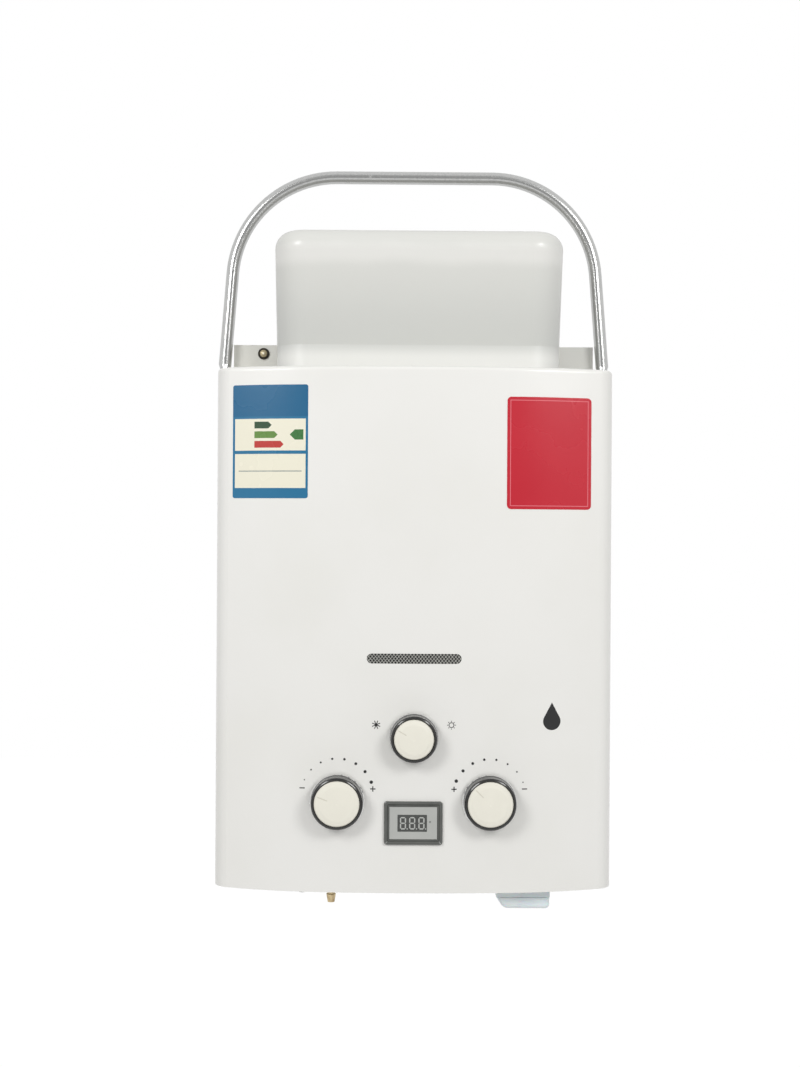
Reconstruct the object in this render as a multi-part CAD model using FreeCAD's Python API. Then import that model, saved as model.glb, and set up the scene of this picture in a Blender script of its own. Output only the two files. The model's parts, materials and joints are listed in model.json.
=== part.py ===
import FreeCAD, Part
import math
import os

from FreeCAD import Vector

# Portable propane water heater of the 6 litres a minute class, hung on a wall or a post.
# Millimetres. X runs to the right seen from the front, Y away from the viewer and Z up.
# The origin lies midway between the two wall holes, on the rear face of the back plate.

# Sheet metal and general clearances
sheet = 0.8
back_sheet = 1.0
panel_gap = 0.3
seat_gap = 0.3
running_gap = 0.05
past = 1.0

# Front cover: side walls, then a crowned front of tangent arcs
body_width = 290.0
cover_drop = 20.0
cover_height = 378.0
side_depth = 92.0
crown_radius = 1000.0
crown_half_width = 72.0
shoulder_radius = 260.0
corner_radius = 14.0
top_bend = 3.0
cover_lip = 16.0
cover_lip_half_width = 96.0
cover_screw_inset = 16.0
cover_screw_from_front = 9.0
cover_screw_radius = 4.0
cover_screw_head = 2.2
collar_gap = 2.0
vent_count = 6
vent_length = 46.0
vent_height = 4.0
vent_pitch = 11.0
vent_drop = 250.0
vent_from_wall = 28.0

# Back plate and base plate
plate_rise = 10.0
flange_depth = 25.0
wall_hole_spacing = 140.0
wall_hole_radius = 3.5
lower_hole_rise = 14.0
base_upstand = 10.0
gas_plate_hole = 7.44
earth_screw_inset = 25.0
earth_screw_rise = 3.0
earth_screw_radius = 3.6
earth_screw_head = 2.1
earth_washer_radius = 4.6
earth_washer = 0.9

# Flue hood
hood_half_width = 109.5
hood_offset = 3.0
hood_from_wall = 9.0
collar_depth = 60.0
collar_rise = 3.0
hood_lean = 25.0
hood_rise = 88.0
hood_skirt_rise = 20.0
hood_front_radius = 24.0
hood_top_radius = 13.0
hood_rim = 4.0
hood_overlap = 1.0
outlet_half_width = 92.0
outlet_sill = 16.0
outlet_head = 12.0

# Carry handle
handle_radius = 5.0
handle_top = 142.3
handle_top_half_width = 138.2
handle_leg_half_width = 149.9
handle_leg_foot = -7.0
handle_bend = 83.0
handle_from_wall = 10.0
tongue_thickness = 4.0
tongue_width = 15.0
tongue_gap = 1.8
tongue_start = -22.0
pivot_drop = 45.0
pivot_radius = 4.0
pivot_head_radius = 7.5
pivot_head = 2.4
pivot_shoulder = 1.0
pivot_thread_step = 0.4
pivot_thread_length = 6.0
pivot_nut = 11.0
pivot_nut_height = 4.0

# Sight slot
slot_drop = 230.0
slot_length = 68.0
slot_height = 7.2
mesh_margin = 5.0
mesh_thickness = 0.6

# Control knobs
gas_knob_x = -54.5
water_knob_x = 54.5
knob_drop = 332.0
selector_x = 0.0
selector_drop = 286.0
knob_radius = 19.0
selector_radius = 17.0
knob_height = 12.0
knob_stand_off = 2.6
skirt_height = 3.6
skirt_wall = 0.75
cap_rim = 2.8
cap_depth = 3.0
cap_crown = 1.6
knob_wall = 1.6
hub_radius = 5.5
spindle_radius = 3.0
spindle_flat = 2.2
spindle_hole_radius = 7.0
knob_gap = 0.1
knob_rim_bevel = 1.2
knob_rim_step = 0.8
hub_proud = 0.5
cap_edge = 0.6
flat_shortfall = 2.0
bore_depth = 12.0

# Display
display_drop = 347.5
display_width = 42.0
display_height = 31.0
display_frame = 3.8
display_proud = 2.0
display_neck = 6.0
display_neck_inset = 2.0
display_corner = 2.0
display_bevel = 0.7
screen_sunk = 1.0
board_margin = 5.0
board_thickness = 1.6
board_inset = 1.0

# Combustion chamber and heat exchanger
chamber_half_width = 98.0
chamber_rear = 16.0
chamber_front = 96.0
chamber_top = -44.0
chamber_bottom = -205.0
fin_count = 12
fin_thickness = 0.8
fin_top_gap = 4.0
fin_height = 42.0
tube_radius = 6.0
tube_rear_y = -36.0
tube_front_y = -76.0
tube_z = -69.0
return_bend_run = 3.0

# Water pipes
pipe_bend = 12.0
side_pipe_gap = 14.0
coil_z = -150.0
feed_z = -336.0
feed_y = -60.0
hot_pipe_from_side = 19.0

# Burner
tray_half_width = 99.0
tray_rear = 15.0
tray_front = 97.0
tray_height = 60.0
blade_count = 6
blade_pitch = 29.0
blade_top = -240.0
blade_height = 44.0
blade_width = 10.0
blade_web = 4.0
blade_head = 8.0
port_margin = 1.5
port_depth = 1.2
port_count = 7
port_width = 4.0
venturi_radius = 5.5
venturi_mouth = 8.0
venturi_length = 46.0
venturi_flare = 9.0
venturi_wall = 1.0
throat_depth = 14.0
mouth_lip = 1.0
bracket_x = 74.0
bracket_foot = 14.0
bracket_height = 40.0
bracket_sheet = 1.2
bracket_rise = 5.0
tray_rim = 3.0
probe_hole_radius = 3.0
glass_margin = 3.0
glass_thickness = 1.0
window_width = 68.0
window_height = 16.0
electrode_x = 52.0

# Gas manifold and selector valve
manifold_section = 12.0
manifold_rear_y = -100.0
manifold_z = -277.0
manifold_half_length = 82.0
nozzle_length = 4.5
nozzle_radius = 3.2
nozzle_hex_length = 1.8
nozzle_tip_radius = 1.2
riser_offset = 20.0
riser_radius = 5.0
riser_flange_radius = 7.0
riser_flange = 3.0
selector_housing_radius = 13.0
housing_back = 2.0
housing_rise = 6.0

# Valve block
valve_z = -345.0
valve_y = -62.0
gas_valve_left = -84.0
gas_valve_right = -34.0
valve_top = -316.0
valve_bottom = -372.0
valve_rear_y = -42.0
valve_front_y = -84.0
valve_face_y = -106.0
valve_boss_radius = 12.0
valve_corner = 5.0
shelf_half_width = 8.0
shelf_thickness = 8.0
shelf_front = 7.0
inlet_boss_radius = 9.0
inlet_boss = 6.0
rib_height = 2.0
rib_depth = 1.5
rib_count = 2
rib_pitch = 6.0
rib_rise = 8.0
water_valve_left = 22.0
water_valve_right = 58.0
water_flange = 8.0
water_box_drop = 4.0
diaphragm_radius = 26.0
diaphragm_thickness = 1.5
diaphragm_case_depth = 16.0
case_rim = 4.0
case_floor = 7.0
case_wall = 2.8
case_boss_radius = 9.0
case_side_gap = 0.8
diaphragm_bolt_circle = 22.4
diaphragm_bolt_hex = 5.5
diaphragm_bolt_head = 2.6
diaphragm_bolt_count = 6
rod_radius = 3.0
rod_head_radius = 15.0
rod_head = 3.0
rod_travel = 4.0
rod_collar_radius = 6.0
rod_collar_width = 3.0
solenoid_radius = 13.0
solenoid_length = 27.0
solenoid_offset = 4.0
solenoid_flange = 3.0
solenoid_flange_step = 2.0
solenoid_bevel = 1.5
terminal_length = 7.0
terminal_half_height = 3.0
terminal_thickness = 0.8

# Connections below the body
gas_inlet_x = -61.0
gas_inlet_y = -60.0
barb_tip = -420.0
barb_root_radius = 4.35
barb_tip_radius = 3.3
barb_bore = 2.0
barb_ridges = 3
barb_ridge_depth = 1.0
barb_land = 0.6
union_radius = 7.0
union_foot = 4.0
barb_root_drop = 2.0
union_hex = 17.0
union_hex_height = 7.0
union_hex_drop = 9.0
nipple_radius = 10.48
nipple_bore = 7.5
nipple_end = -412.0
nipple_hex = 24.0
nipple_hex_height = 12.0
nipple_shank_drop = 4.0
nipple_bevel = 1.0
cold_inlet_x = 40.0
cold_inlet_y = -50.0
hot_outlet_y = -36.0
plate_hole_gap = 2.5

# Battery box with two upright cells
battery_left = 61.5
battery_right = 100.5
battery_front = -100.0
battery_rear = -26.0
battery_top = -344.5
battery_bottom = -422.0
battery_split = -406.0
battery_wall = 2.4
cell_radius = 17.0
cell_height = 59.0
cell_gap = 0.4
cell_lift = 0.6
cell_bevel = 2.0
cell_shoulder = 3.0
cell_cap = 1.5
cell_cap_radius = 4.7
split_drop = 2.0
box_rim = 3.0
box_rim_height = 2.0
lid_slant = 10.0
lid_round = 9.0
lid_knuckle = 3.0
lid_knuckle_length = 10.0
lid_pin_radius = 1.25

# Small electrical pieces
igniter_width = 34.0
igniter_depth = 22.0
igniter_height = 76.0
igniter_z = -262.0
igniter_corner = 2.5
socket_radius = 3.5
socket_height = 8.0
socket_places = (9.0, 22.0)
probe_radius = 2.7
probe_collar_radius = 4.2
probe_collar = 3.0
probe_lead = 12.0
probe_sleeve = 10.0
probe_wire_radius = 0.9
electrode_reach = 24.0
flame_sensor_reach = 30.0
thermostat_radius = 8.0
thermostat_height = 5.0
thermostat_flange = 1.5
thermostat_z = -110.0
switch_depth = 6.5
switch_height = 10.0
switch_lap = 0.4
lever_thickness = 0.6
lever_pin_radius = 1.4
lever_arm = 9.0
lever_width = 4.0
lever_foot_gap = 0.8
collar_x = -12.0

# Derived places
half_width = body_width / 2
cover_top = -cover_drop
cover_bottom = cover_top - cover_height
sin_1 = crown_half_width / crown_radius
shoulder_width = half_width - corner_radius - crown_half_width
sin_2 = (shoulder_width + shoulder_radius * sin_1) / (shoulder_radius - corner_radius)
angle_1 = math.asin(sin_1)
angle_2 = math.asin(sin_2)
crown_rise = crown_radius * (1 - math.cos(angle_1))
shoulder_rise = shoulder_radius * (math.cos(angle_1) - math.cos(angle_2))
front_y = -(side_depth + crown_rise + shoulder_rise + corner_radius * math.cos(angle_2))
inner_half_width = half_width - sheet
flange_outer = inner_half_width - panel_gap
rear_edge = -(back_sheet + panel_gap)
base_z = cover_bottom + sheet + panel_gap
handle_y = -handle_from_wall
tongue_inner = half_width + tongue_gap
pivot_z = -pivot_drop
side_pipe_x = chamber_half_width + side_pipe_gap
hot_pipe_x = hot_pipe_from_side - half_width
chamber_mid_y = -(chamber_rear + chamber_front) / 2
riser_x = (gas_valve_left + gas_valve_right) / 2 + riser_offset
riser_y = manifold_rear_y - manifold_section / 2
selector_face_y = valve_face_y - housing_rise
first_blade_x = -blade_pitch * (blade_count - 1) / 2
blade_places = [first_blade_x + blade_pitch * i for i in range(blade_count)]


def block(x0, x1, y0, y1, z0, z1):
    corner = Vector(min(x0, x1), min(y0, y1), min(z0, z1))
    return Part.makeBox(abs(x1 - x0), abs(y1 - y0), abs(z1 - z0), corner)


def rod(radius, start, end):
    start, end = Vector(*start), Vector(*end)
    return Part.makeCylinder(radius, (end - start).Length, start, end - start)


def turned(origin, axis, profile):
    """Revolve a closed profile of (radius, distance along the axis) points."""
    along = {"x": Vector(1, 0, 0), "y": Vector(0, 1, 0), "z": Vector(0, 0, 1)}[axis]
    across = Vector(0, 0, 1) if axis == "x" else Vector(1, 0, 0)
    points = [Vector(*origin) + across * r + along * a for r, a in profile]
    face = Part.Face(Part.makePolygon(points + points[:1]))
    return face.revolve(Vector(*origin), along, 360)


def hexagon(centre, across_flats, height):
    """A hexagonal prism that stands up from its centre point."""
    reach = across_flats / math.sqrt(3)
    corners = [Vector(reach * math.cos(math.radians(60 * i)), reach * math.sin(math.radians(60 * i)), 0)
               for i in range(7)]
    prism = Part.Face(Part.makePolygon(corners)).extrude(Vector(0, 0, height))
    prism.translate(Vector(*centre))
    return prism


def bent_rod(points, bend, radius):
    """A round bar of straight runs joined by tangent arcs of one radius."""
    points = [Vector(*p) for p in points]
    pieces = []
    start = points[0]
    for before, corner, after in zip(points, points[1:], points[2:]):
        toward, away = (before - corner).normalize(), (after - corner).normalize()
        half_turn = (math.pi - toward.getAngle(away)) / 2
        cut = bend * math.tan(half_turn)
        arc_start = corner + toward * cut
        centre = corner + (toward + away).normalize() * (bend / math.cos(half_turn))
        pieces.append(rod(radius, start, arc_start))
        section = Part.Face(Part.Wire(Part.makeCircle(radius, arc_start, toward)))
        pieces.append(section.revolve(centre, away.cross(toward), math.degrees(2 * half_turn)))
        start = corner + away * cut
    pieces.append(rod(radius, start, points[-1]))
    return pieces[0].fuse(pieces[1:])


def crown_point(radius, angle, inset, centre):
    reach = radius - inset
    return Vector(centre[0] + reach * math.sin(angle), centre[1] - reach * math.cos(angle), 0)


def crown_arc(radius, start, end, inset, centre):
    angles = (start, (start + end) / 2, end)
    return Part.Arc(*[crown_point(radius, a, inset, centre) for a in angles]).toShape()


def cover_face(inset, rear_y, height):
    """The body's plan outline, drawn in by an inset, as a face at one height."""
    crown_centre = (0.0, front_y + crown_radius)
    reach = crown_radius - shoulder_radius
    shoulder = (reach * sin_1, crown_centre[1] - reach * math.cos(angle_1))
    corner = (half_width - corner_radius, -side_depth)
    half = [
        crown_arc(crown_radius, 0, angle_1, inset, crown_centre),
        crown_arc(shoulder_radius, angle_1, angle_2, inset, shoulder),
        crown_arc(corner_radius, angle_2, math.pi / 2, inset, corner),
    ]
    side_x = half_width - inset
    half.append(Part.LineSegment(Vector(side_x, -side_depth, 0), Vector(side_x, rear_y, 0)).toShape())
    other = [edge.mirror(Vector(0, 0, 0), Vector(1, 0, 0)) for edge in half]
    back = Part.LineSegment(Vector(-side_x, rear_y, 0), Vector(side_x, rear_y, 0)).toShape()
    face = Part.Face(Part.Wire(Part.__sortEdges__(half + other + [back])))
    face.translate(Vector(0, 0, height))
    return face


def crown_y(x):
    """Where the cover's outer face lies at one X within the shoulders."""
    if abs(x) <= crown_half_width:
        return front_y + crown_radius - math.sqrt(crown_radius ** 2 - x ** 2)
    turn = math.asin(sin_1 + (abs(x) - crown_half_width) / shoulder_radius)
    return front_y + crown_rise + shoulder_radius * (math.cos(angle_1) - math.cos(turn))


def body_prism(inset, rear_y, bottom, top):
    return cover_face(inset, rear_y, bottom).extrude(Vector(0, 0, top - bottom))


def bend_edges(shape, radius, chosen):
    return shape.makeFillet(radius, [edge for edge in shape.Edges if chosen(edge.BoundBox)])


def stadium(x, z, length, height, y0, y1):
    """A slot with full round ends, cut along Y."""
    reach = (length - height) / 2
    middle = block(x - reach, x + reach, y0, y1, z - height / 2, z + height / 2)
    ends = [rod(height / 2, (x + s * reach, y0, z), (x + s * reach, y1, z)) for s in (-1, 1)]
    return middle.fuse(ends)


def front_cover():
    """The crowned sheet cover: bent top, side vents, lip below and openings for what passes through."""
    outer = body_prism(0, rear_edge, cover_bottom, cover_top)
    outer = bend_edges(outer, top_bend, lambda b: b.ZMin > cover_top - 0.01 and b.YMin < rear_edge - past)
    inner_top = cover_top - sheet
    inner = body_prism(sheet, past, cover_bottom - past, inner_top)
    inner = bend_edges(inner, top_bend - sheet, lambda b: b.ZMin > inner_top - 0.01 and b.YMin < 0)
    lip_field = block(-cover_lip_half_width, cover_lip_half_width, front_y, front_y + cover_lip + crown_rise,
                      cover_bottom, cover_bottom + sheet)
    lip = body_prism(sheet / 2, rear_edge, cover_bottom, cover_bottom + sheet).common(lip_field)
    through = front_y - past, front_y + cover_lip / 2
    cuts = [stadium(0, -slot_drop, slot_length, slot_height, *through)]
    for x, drop in ((gas_knob_x, knob_drop), (water_knob_x, knob_drop), (selector_x, selector_drop)):
        cuts.append(rod(spindle_hole_radius, (x, through[0], -drop), (x, through[1], -drop)))
    neck_x = display_width / 2 - display_neck_inset + panel_gap
    neck_z = display_height / 2 - display_neck_inset + panel_gap
    cuts.append(block(-neck_x, neck_x, *through, -display_drop - neck_z, -display_drop + neck_z))
    hood_x = hood_half_width + collar_gap
    cuts.append(block(hood_offset - hood_x, hood_offset + hood_x, -collar_depth - collar_gap, 0,
                      cover_top - 2 * sheet, cover_top + past))
    return outer.cut(inner).fuse(lip).cut(cuts + side_cuts())


def side_cuts():
    """The handle's pivot slots and the air vents in the cover's two side walls."""
    cuts = []
    slot_half = pivot_radius + pivot_shoulder + panel_gap
    for side in (-1, 1):
        wall = side * (half_width - 2 * sheet), side * (half_width + past)
        cuts.append(block(*wall, handle_y, 0, pivot_z - slot_half, pivot_z + slot_half))
        cuts.append(rod(slot_half, (wall[0], handle_y, pivot_z), (wall[1], handle_y, pivot_z)))
        for i in range(vent_count):
            z = -vent_drop - i * vent_pitch
            cuts.append(block(*wall, -vent_from_wall - vent_length, -vent_from_wall, z - vent_height, z))
    return cuts


def back_plate():
    shape = block(-flange_outer, flange_outer, -back_sheet, 0, base_z, plate_rise)
    for side in (-1, 1):
        outer, inner = side * flange_outer, side * (flange_outer - back_sheet)
        flange = block(outer, inner, -flange_depth, 0, base_z, cover_top - top_bend - panel_gap)
        pivot_hole = rod(pivot_radius, (inner - side * past, handle_y, pivot_z),
                         (outer + side * past, handle_y, pivot_z))
        shape = shape.fuse(flange).cut(pivot_hole)
    holes = []
    for x in (-wall_hole_spacing / 2, wall_hole_spacing / 2):
        for z in (0.0, cover_bottom + lower_hole_rise):
            holes.append(rod(wall_hole_radius, (x, -back_sheet - past, z), (x, past, z)))
    return shape.cut(holes)


def base_plate():
    top = base_z + back_sheet
    between = flange_outer - back_sheet
    plate = body_prism(sheet + panel_gap, -back_sheet, base_z, top)
    flanges = block(-flange_outer, flange_outer, -flange_depth, 0, base_z, top)
    middle = block(-between, between, -flange_depth, 0, base_z, top)
    plate = plate.cut(flanges.cut(middle))
    upstand = block(-between, between, -2 * back_sheet, -back_sheet, top, top + base_upstand)
    through = base_z - past, top + past
    cuts = []
    for x, y, radius in ((gas_inlet_x, gas_inlet_y, gas_plate_hole),
                         (cold_inlet_x, cold_inlet_y, nipple_radius),
                         (hot_pipe_x, hot_outlet_y, nipple_radius)):
        cuts.append(rod(radius + plate_hole_gap, (x, y, through[0]), (x, y, through[1])))
    cuts.append(block(battery_left - panel_gap, battery_right + panel_gap, battery_front - panel_gap,
                      battery_rear + panel_gap, *through))
    return plate.fuse(upstand).cut(cuts)


def hood_outline(front, inset, z):
    """The hood's plan outline at one height, with large round front corners."""
    x, radius = hood_half_width - inset, hood_front_radius - inset
    back, front = -hood_from_wall - inset, front + inset
    reach = radius * (1 - math.cos(math.pi / 4))
    left = [Vector(-x, back, z), Vector(-x, front + radius, z), Vector(-x + radius, front, z)]
    right = [Vector(-p.x, p.y, z) for p in reversed(left)]
    bends = [Part.Arc(p, Vector(s * (x - reach), front + reach, z), q).toShape()
             for p, q, s in ((left[1], left[2], -1), (right[0], right[1], 1))]
    runs = [Part.LineSegment(p, q).toShape()
            for p, q in ((left[0], left[1]), (left[2], right[0]), (right[1], right[2]), (right[2], left[0]))]
    outline = Part.Wire([runs[0], bends[0], runs[1], bends[1], runs[2], runs[3]])
    outline.translate(Vector(hood_offset, 0, 0))
    return outline


def hood_solid(inset):
    """The hood's outer form, or its inner form when drawn in by the sheet."""
    skirt_front = -chamber_front - hood_overlap
    levels = [
        (skirt_front, chamber_top + inset), (skirt_front, chamber_top + hood_rim),
        (-collar_depth, chamber_top + hood_skirt_rise), (-collar_depth, collar_rise),
        (-collar_depth - hood_lean, hood_rise - inset),
    ]
    outlines = [hood_outline(front, inset, z) for front, z in levels]
    stages = [Part.makeLoft([low, high], True, True) for low, high in zip(outlines, outlines[1:])]
    top = hood_rise - inset
    stages[-1] = bend_edges(stages[-1], hood_top_radius - inset,
                            lambda b: b.ZMin > top - 0.01 and b.YMin < -hood_from_wall - inset - 0.01)
    return stages[0].fuse(stages[1:])


def flue_hood():
    shell = hood_solid(0).cut(hood_solid(sheet))
    inner = chamber_half_width - sheet
    mouth = block(-inner, inner, -chamber_front + sheet, -chamber_rear - sheet,
                  chamber_top - past, chamber_top + 2 * past)
    outlet = block(hood_offset - outlet_half_width, hood_offset + outlet_half_width,
                   -hood_from_wall - 2 * sheet, 0, outlet_sill, hood_rise - outlet_head)
    return shell.cut([mouth, outlet])


def carry_handle():
    """One bent bar, its two ends flattened into tongues that hold the pivots."""
    lean = (handle_leg_half_width - handle_top_half_width) / (handle_top - handle_leg_foot)
    points = []
    for side in (-1, 1):
        foot = (side * handle_leg_half_width, handle_y, handle_leg_foot)
        knee = (side * handle_top_half_width, handle_y, handle_top)
        points += [foot, knee] if side < 0 else [knee, foot]
    shape = bent_rod(points, handle_bend, handle_radius)
    for side in (-1, 1):
        inside, outside = side * tongue_inner, side * (tongue_inner + tongue_thickness)
        direction = Vector(side * lean, 0, -1)
        start = Vector(side * handle_leg_half_width, handle_y, handle_leg_foot)
        ring = Part.Wire(Part.makeCircle(handle_radius, start, direction))
        flat = Part.Ellipse(Vector(0, 0, 0), tongue_width / 2, tongue_thickness / 2).toShape()
        flat.rotate(Vector(0, 0, 0), Vector(0, 0, 1), 90)
        flat.translate(Vector((inside + outside) / 2, handle_y, tongue_start))
        neck = Part.makeLoft([ring, Part.Wire(flat)], True, True)
        tongue = block(inside, outside, handle_y - tongue_width / 2, handle_y + tongue_width / 2,
                       pivot_z, tongue_start)
        end = rod(tongue_width / 2, (inside, handle_y, pivot_z), (outside, handle_y, pivot_z))
        hole = rod(pivot_radius + running_gap, (inside - side * past, handle_y, pivot_z),
                   (outside + side * past, handle_y, pivot_z))
        shape = shape.fuse([neck, tongue, end]).cut(hole)
    return shape


def handle_pivot_screws():
    """Shoulder screws from outside: shoulder on the flange, thread and nut inside it."""
    outer = tongue_inner + tongue_thickness + running_gap
    inner = flange_outer - back_sheet
    shoulder, thread = pivot_radius + pivot_shoulder, pivot_radius - pivot_thread_step
    profile = [
        (0, inner - pivot_thread_length), (thread, inner - pivot_thread_length), (thread, flange_outer),
        (shoulder, flange_outer), (shoulder, tongue_inner - running_gap),
        (pivot_radius, tongue_inner - running_gap), (pivot_radius, outer), (pivot_head_radius, outer),
        (pivot_head_radius, outer + pivot_head / 2), (pivot_head_radius - pivot_head, outer + pivot_head),
        (0, outer + pivot_head),
    ]
    screws = []
    for side in (-1, 1):
        screws.append(turned((0, handle_y, pivot_z), "x", [(r, side * a) for r, a in profile]))
        nut = hexagon((0, 0, 0), pivot_nut, pivot_nut_height)
        nut = nut.cut(rod(thread, (0, 0, -past), (0, 0, pivot_nut_height + past)))
        nut.rotate(Vector(0, 0, 0), Vector(0, 1, 0), -90 * side)
        nut.translate(Vector(side * inner, handle_y, pivot_z))
        screws.append(nut)
    return screws


def earth_screw():
    """Brass screw with its dark washer, in the left end of the top strip."""
    place = (earth_screw_inset - half_width, 0, earth_screw_rise)
    seat = -back_sheet
    head = seat - earth_washer
    washer = turned(place, "y", [
        (earth_screw_radius / 2, seat), (earth_washer_radius, seat), (earth_washer_radius, head),
        (earth_screw_radius / 2, head)])
    screw = turned(place, "y", [
        (0, head), (earth_screw_radius, head), (earth_screw_radius * 0.9, head - earth_screw_head * 0.6),
        (earth_screw_radius * 0.55, head - earth_screw_head * 0.9), (0, head - earth_screw_head)])
    return [washer, screw]


def cover_screws():
    """Two pan head screws from below, through the cover's lip into the base plate."""
    screws = []
    low = cover_bottom
    for side in (-1, 1):
        x = side * (cover_lip_half_width - cover_screw_inset)
        place = (x, crown_y(x) + cover_screw_from_front, 0)
        screws.append(turned(place, "z", [
            (0, low), (cover_screw_radius, low), (cover_screw_radius * 0.9, low - cover_screw_head * 0.7),
            (cover_screw_radius * 0.55, low - cover_screw_head), (0, low - cover_screw_head)]))
    return screws


def sight_mesh():
    """A curved gauze strip behind the slot, riveted to the cover's inner face."""
    near, far = sheet, sheet + mesh_thickness
    bottom = -slot_drop - slot_height / 2 - mesh_margin
    top = -slot_drop + slot_height / 2 + mesh_margin
    strip = body_prism(near, rear_edge, bottom, top).cut(body_prism(far, past, bottom - past, top + past))
    reach = slot_length / 2 + mesh_margin
    return strip.common(block(-reach, reach, front_y - past, front_y + mesh_margin, bottom, top))


def knob_axis(x, drop):
    return x, 0, -drop


def knob_back(x):
    return crown_y(x) - knob_stand_off


def knob_ring(x, drop, radius):
    """The black body of a knob: a rim around a seat for the cap, and a hub behind."""
    back = knob_back(x)
    front = back - knob_height
    seat = front + cap_depth
    inside = radius - cap_rim
    bore = spindle_radius + knob_gap
    profile = [
        (bore, back - hub_proud), (hub_radius, back - hub_proud), (hub_radius, seat + knob_wall),
        (inside - cap_edge, seat + knob_wall), (radius - knob_wall, back), (radius, back),
        (radius, back - skirt_height), (radius - knob_rim_bevel / 2, front + knob_rim_bevel),
        (radius - knob_rim_bevel, front + knob_rim_bevel / 3), (radius - cap_rim * 0.7, front),
        (inside, front + knob_rim_step), (inside, seat), (bore, seat),
    ]
    return turned(knob_axis(x, drop), "y", profile)


def knob_skirt(x, drop, radius):
    """A thin bright trim ring around the foot of the knob."""
    back = knob_back(x)
    front = back - skirt_height
    far = radius + skirt_wall
    profile = [(radius, back), (far, back), (far, front + skirt_wall), (radius + skirt_wall / 2, front),
               (radius, front)]
    return turned(knob_axis(x, drop), "y", profile)


def knob_cap(x, drop, radius):
    """A domed cream cap, let into the black rim."""
    seat = knob_back(x) - knob_height + cap_depth
    edge = radius - cap_rim - knob_gap
    rim = seat - cap_depth + cap_edge
    profile = [
        (0, seat), (edge, seat), (edge, rim), (edge * 0.96, rim - cap_crown * 0.3),
        (edge * 0.75, rim - cap_crown * 0.75), (edge * 0.4, rim - cap_crown * 0.95), (0, rim - cap_crown),
    ]
    return turned(knob_axis(x, drop), "y", profile)


def knob_spindle(x, drop, body_face_y):
    """A round spindle with a flat for the knob, running in a bore of its valve."""
    tip = knob_back(x) - knob_height + cap_depth + knob_gap
    inner = body_face_y + bore_depth
    shaft = rod(spindle_radius, (x, inner, -drop), (x, tip, -drop))
    flat_end = tip + knob_height - cap_depth - flat_shortfall
    flat = block(x - spindle_radius, x + spindle_radius, tip, flat_end, spindle_flat - drop,
                 spindle_radius - drop)
    return shaft.cut(flat)


def spindle_bore(x, drop, body_face_y):
    mouth, end = body_face_y - past, body_face_y + bore_depth + seat_gap
    return rod(spindle_radius + running_gap, (x, mouth, -drop), (x, end, -drop))


def display_block(x, z, y0, y1):
    return block(-x, x, y0, y1, -display_drop - z, -display_drop + z)


def display_bezel():
    outer_x, outer_z = display_width / 2, display_height / 2
    face, neck_end = front_y - display_proud, front_y + display_neck
    flange = display_block(outer_x, outer_z, face, front_y)
    flange = bend_edges(flange, display_corner, lambda b: b.XLength < 0.01 and b.ZLength < 0.01)
    rim = [edge for edge in flange.Edges if edge.BoundBox.YMax < face + 0.01]
    flange = flange.makeChamfer(display_bevel, rim)
    neck = display_block(outer_x - display_neck_inset, outer_z - display_neck_inset, front_y, neck_end)
    opening = display_block(outer_x - display_frame, outer_z - display_frame, face - past, neck_end + past)
    return flange.fuse(neck).cut(opening)


def display_module():
    """The screen behind the bezel, on its circuit board."""
    x = display_width / 2 - display_frame - seat_gap / 2
    z = display_height / 2 - display_frame - seat_gap / 2
    board_y = front_y + display_neck
    screen = display_block(x, z, front_y - display_proud + screen_sunk, board_y)
    board_x, board_z = display_width / 2 + board_margin, display_height / 2 - board_inset
    return screen.fuse(display_block(board_x, board_z, board_y, board_y + board_thickness))


def chamber_block(inset, bottom, top):
    x = chamber_half_width - inset
    return block(-x, x, inset - chamber_front, -chamber_rear - inset, bottom, top)


def combustion_chamber():
    """An open copper box around the flame, with the finned tubes through its head."""
    outer = chamber_block(0, chamber_bottom, chamber_top)
    shell = outer.cut(chamber_block(sheet, chamber_bottom - past, chamber_top + past))
    reach = chamber_half_width + past
    holes = [rod(tube_radius + running_gap, (-reach, y, tube_z), (reach, y, tube_z))
             for y in (tube_rear_y, tube_front_y)]
    return shell.cut(holes)


def exchanger_fins():
    """Thin upright fins threaded on the two water tubes."""
    inner = chamber_half_width - sheet
    pitch = 2 * inner / (fin_count + 1)
    top = chamber_top - fin_top_gap
    front, rear = 2 * sheet - chamber_front, -chamber_rear - 2 * sheet
    fins = []
    for i in range(fin_count):
        x = -inner + pitch * (i + 1) - fin_thickness / 2
        fins.append(block(x, x + fin_thickness, front, rear, top - fin_height, top))
    tubes = [rod(tube_radius, (-chamber_half_width, y, tube_z), (chamber_half_width, y, tube_z))
             for y in (tube_rear_y, tube_front_y)]
    return tubes[0].fuse(tubes[1:] + fins)


def return_bend():
    """The U-bend that joins the two finned tubes on the right."""
    x = chamber_half_width
    reach = (tube_rear_y - tube_front_y) / 2
    far = x + return_bend_run + reach
    points = [(x, tube_rear_y, tube_z), (far, tube_rear_y, tube_z), (far, tube_front_y, tube_z),
              (x, tube_front_y, tube_z)]
    return bent_rod(points, reach - 0.01, tube_radius)


def cold_water_pipe():
    """Out of the water valve, up, across the chamber's front and in at the left."""
    front_run = -chamber_front - tube_radius - seat_gap
    points = [
        (water_valve_right, feed_y, feed_z), (side_pipe_x, feed_y, feed_z), (side_pipe_x, feed_y, coil_z),
        (side_pipe_x, front_run, coil_z), (-side_pipe_x, front_run, coil_z),
        (-side_pipe_x, tube_front_y, coil_z), (-side_pipe_x, tube_front_y, tube_z),
        (-chamber_half_width, tube_front_y, tube_z),
    ]
    return bent_rod(points, pipe_bend, tube_radius)


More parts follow.
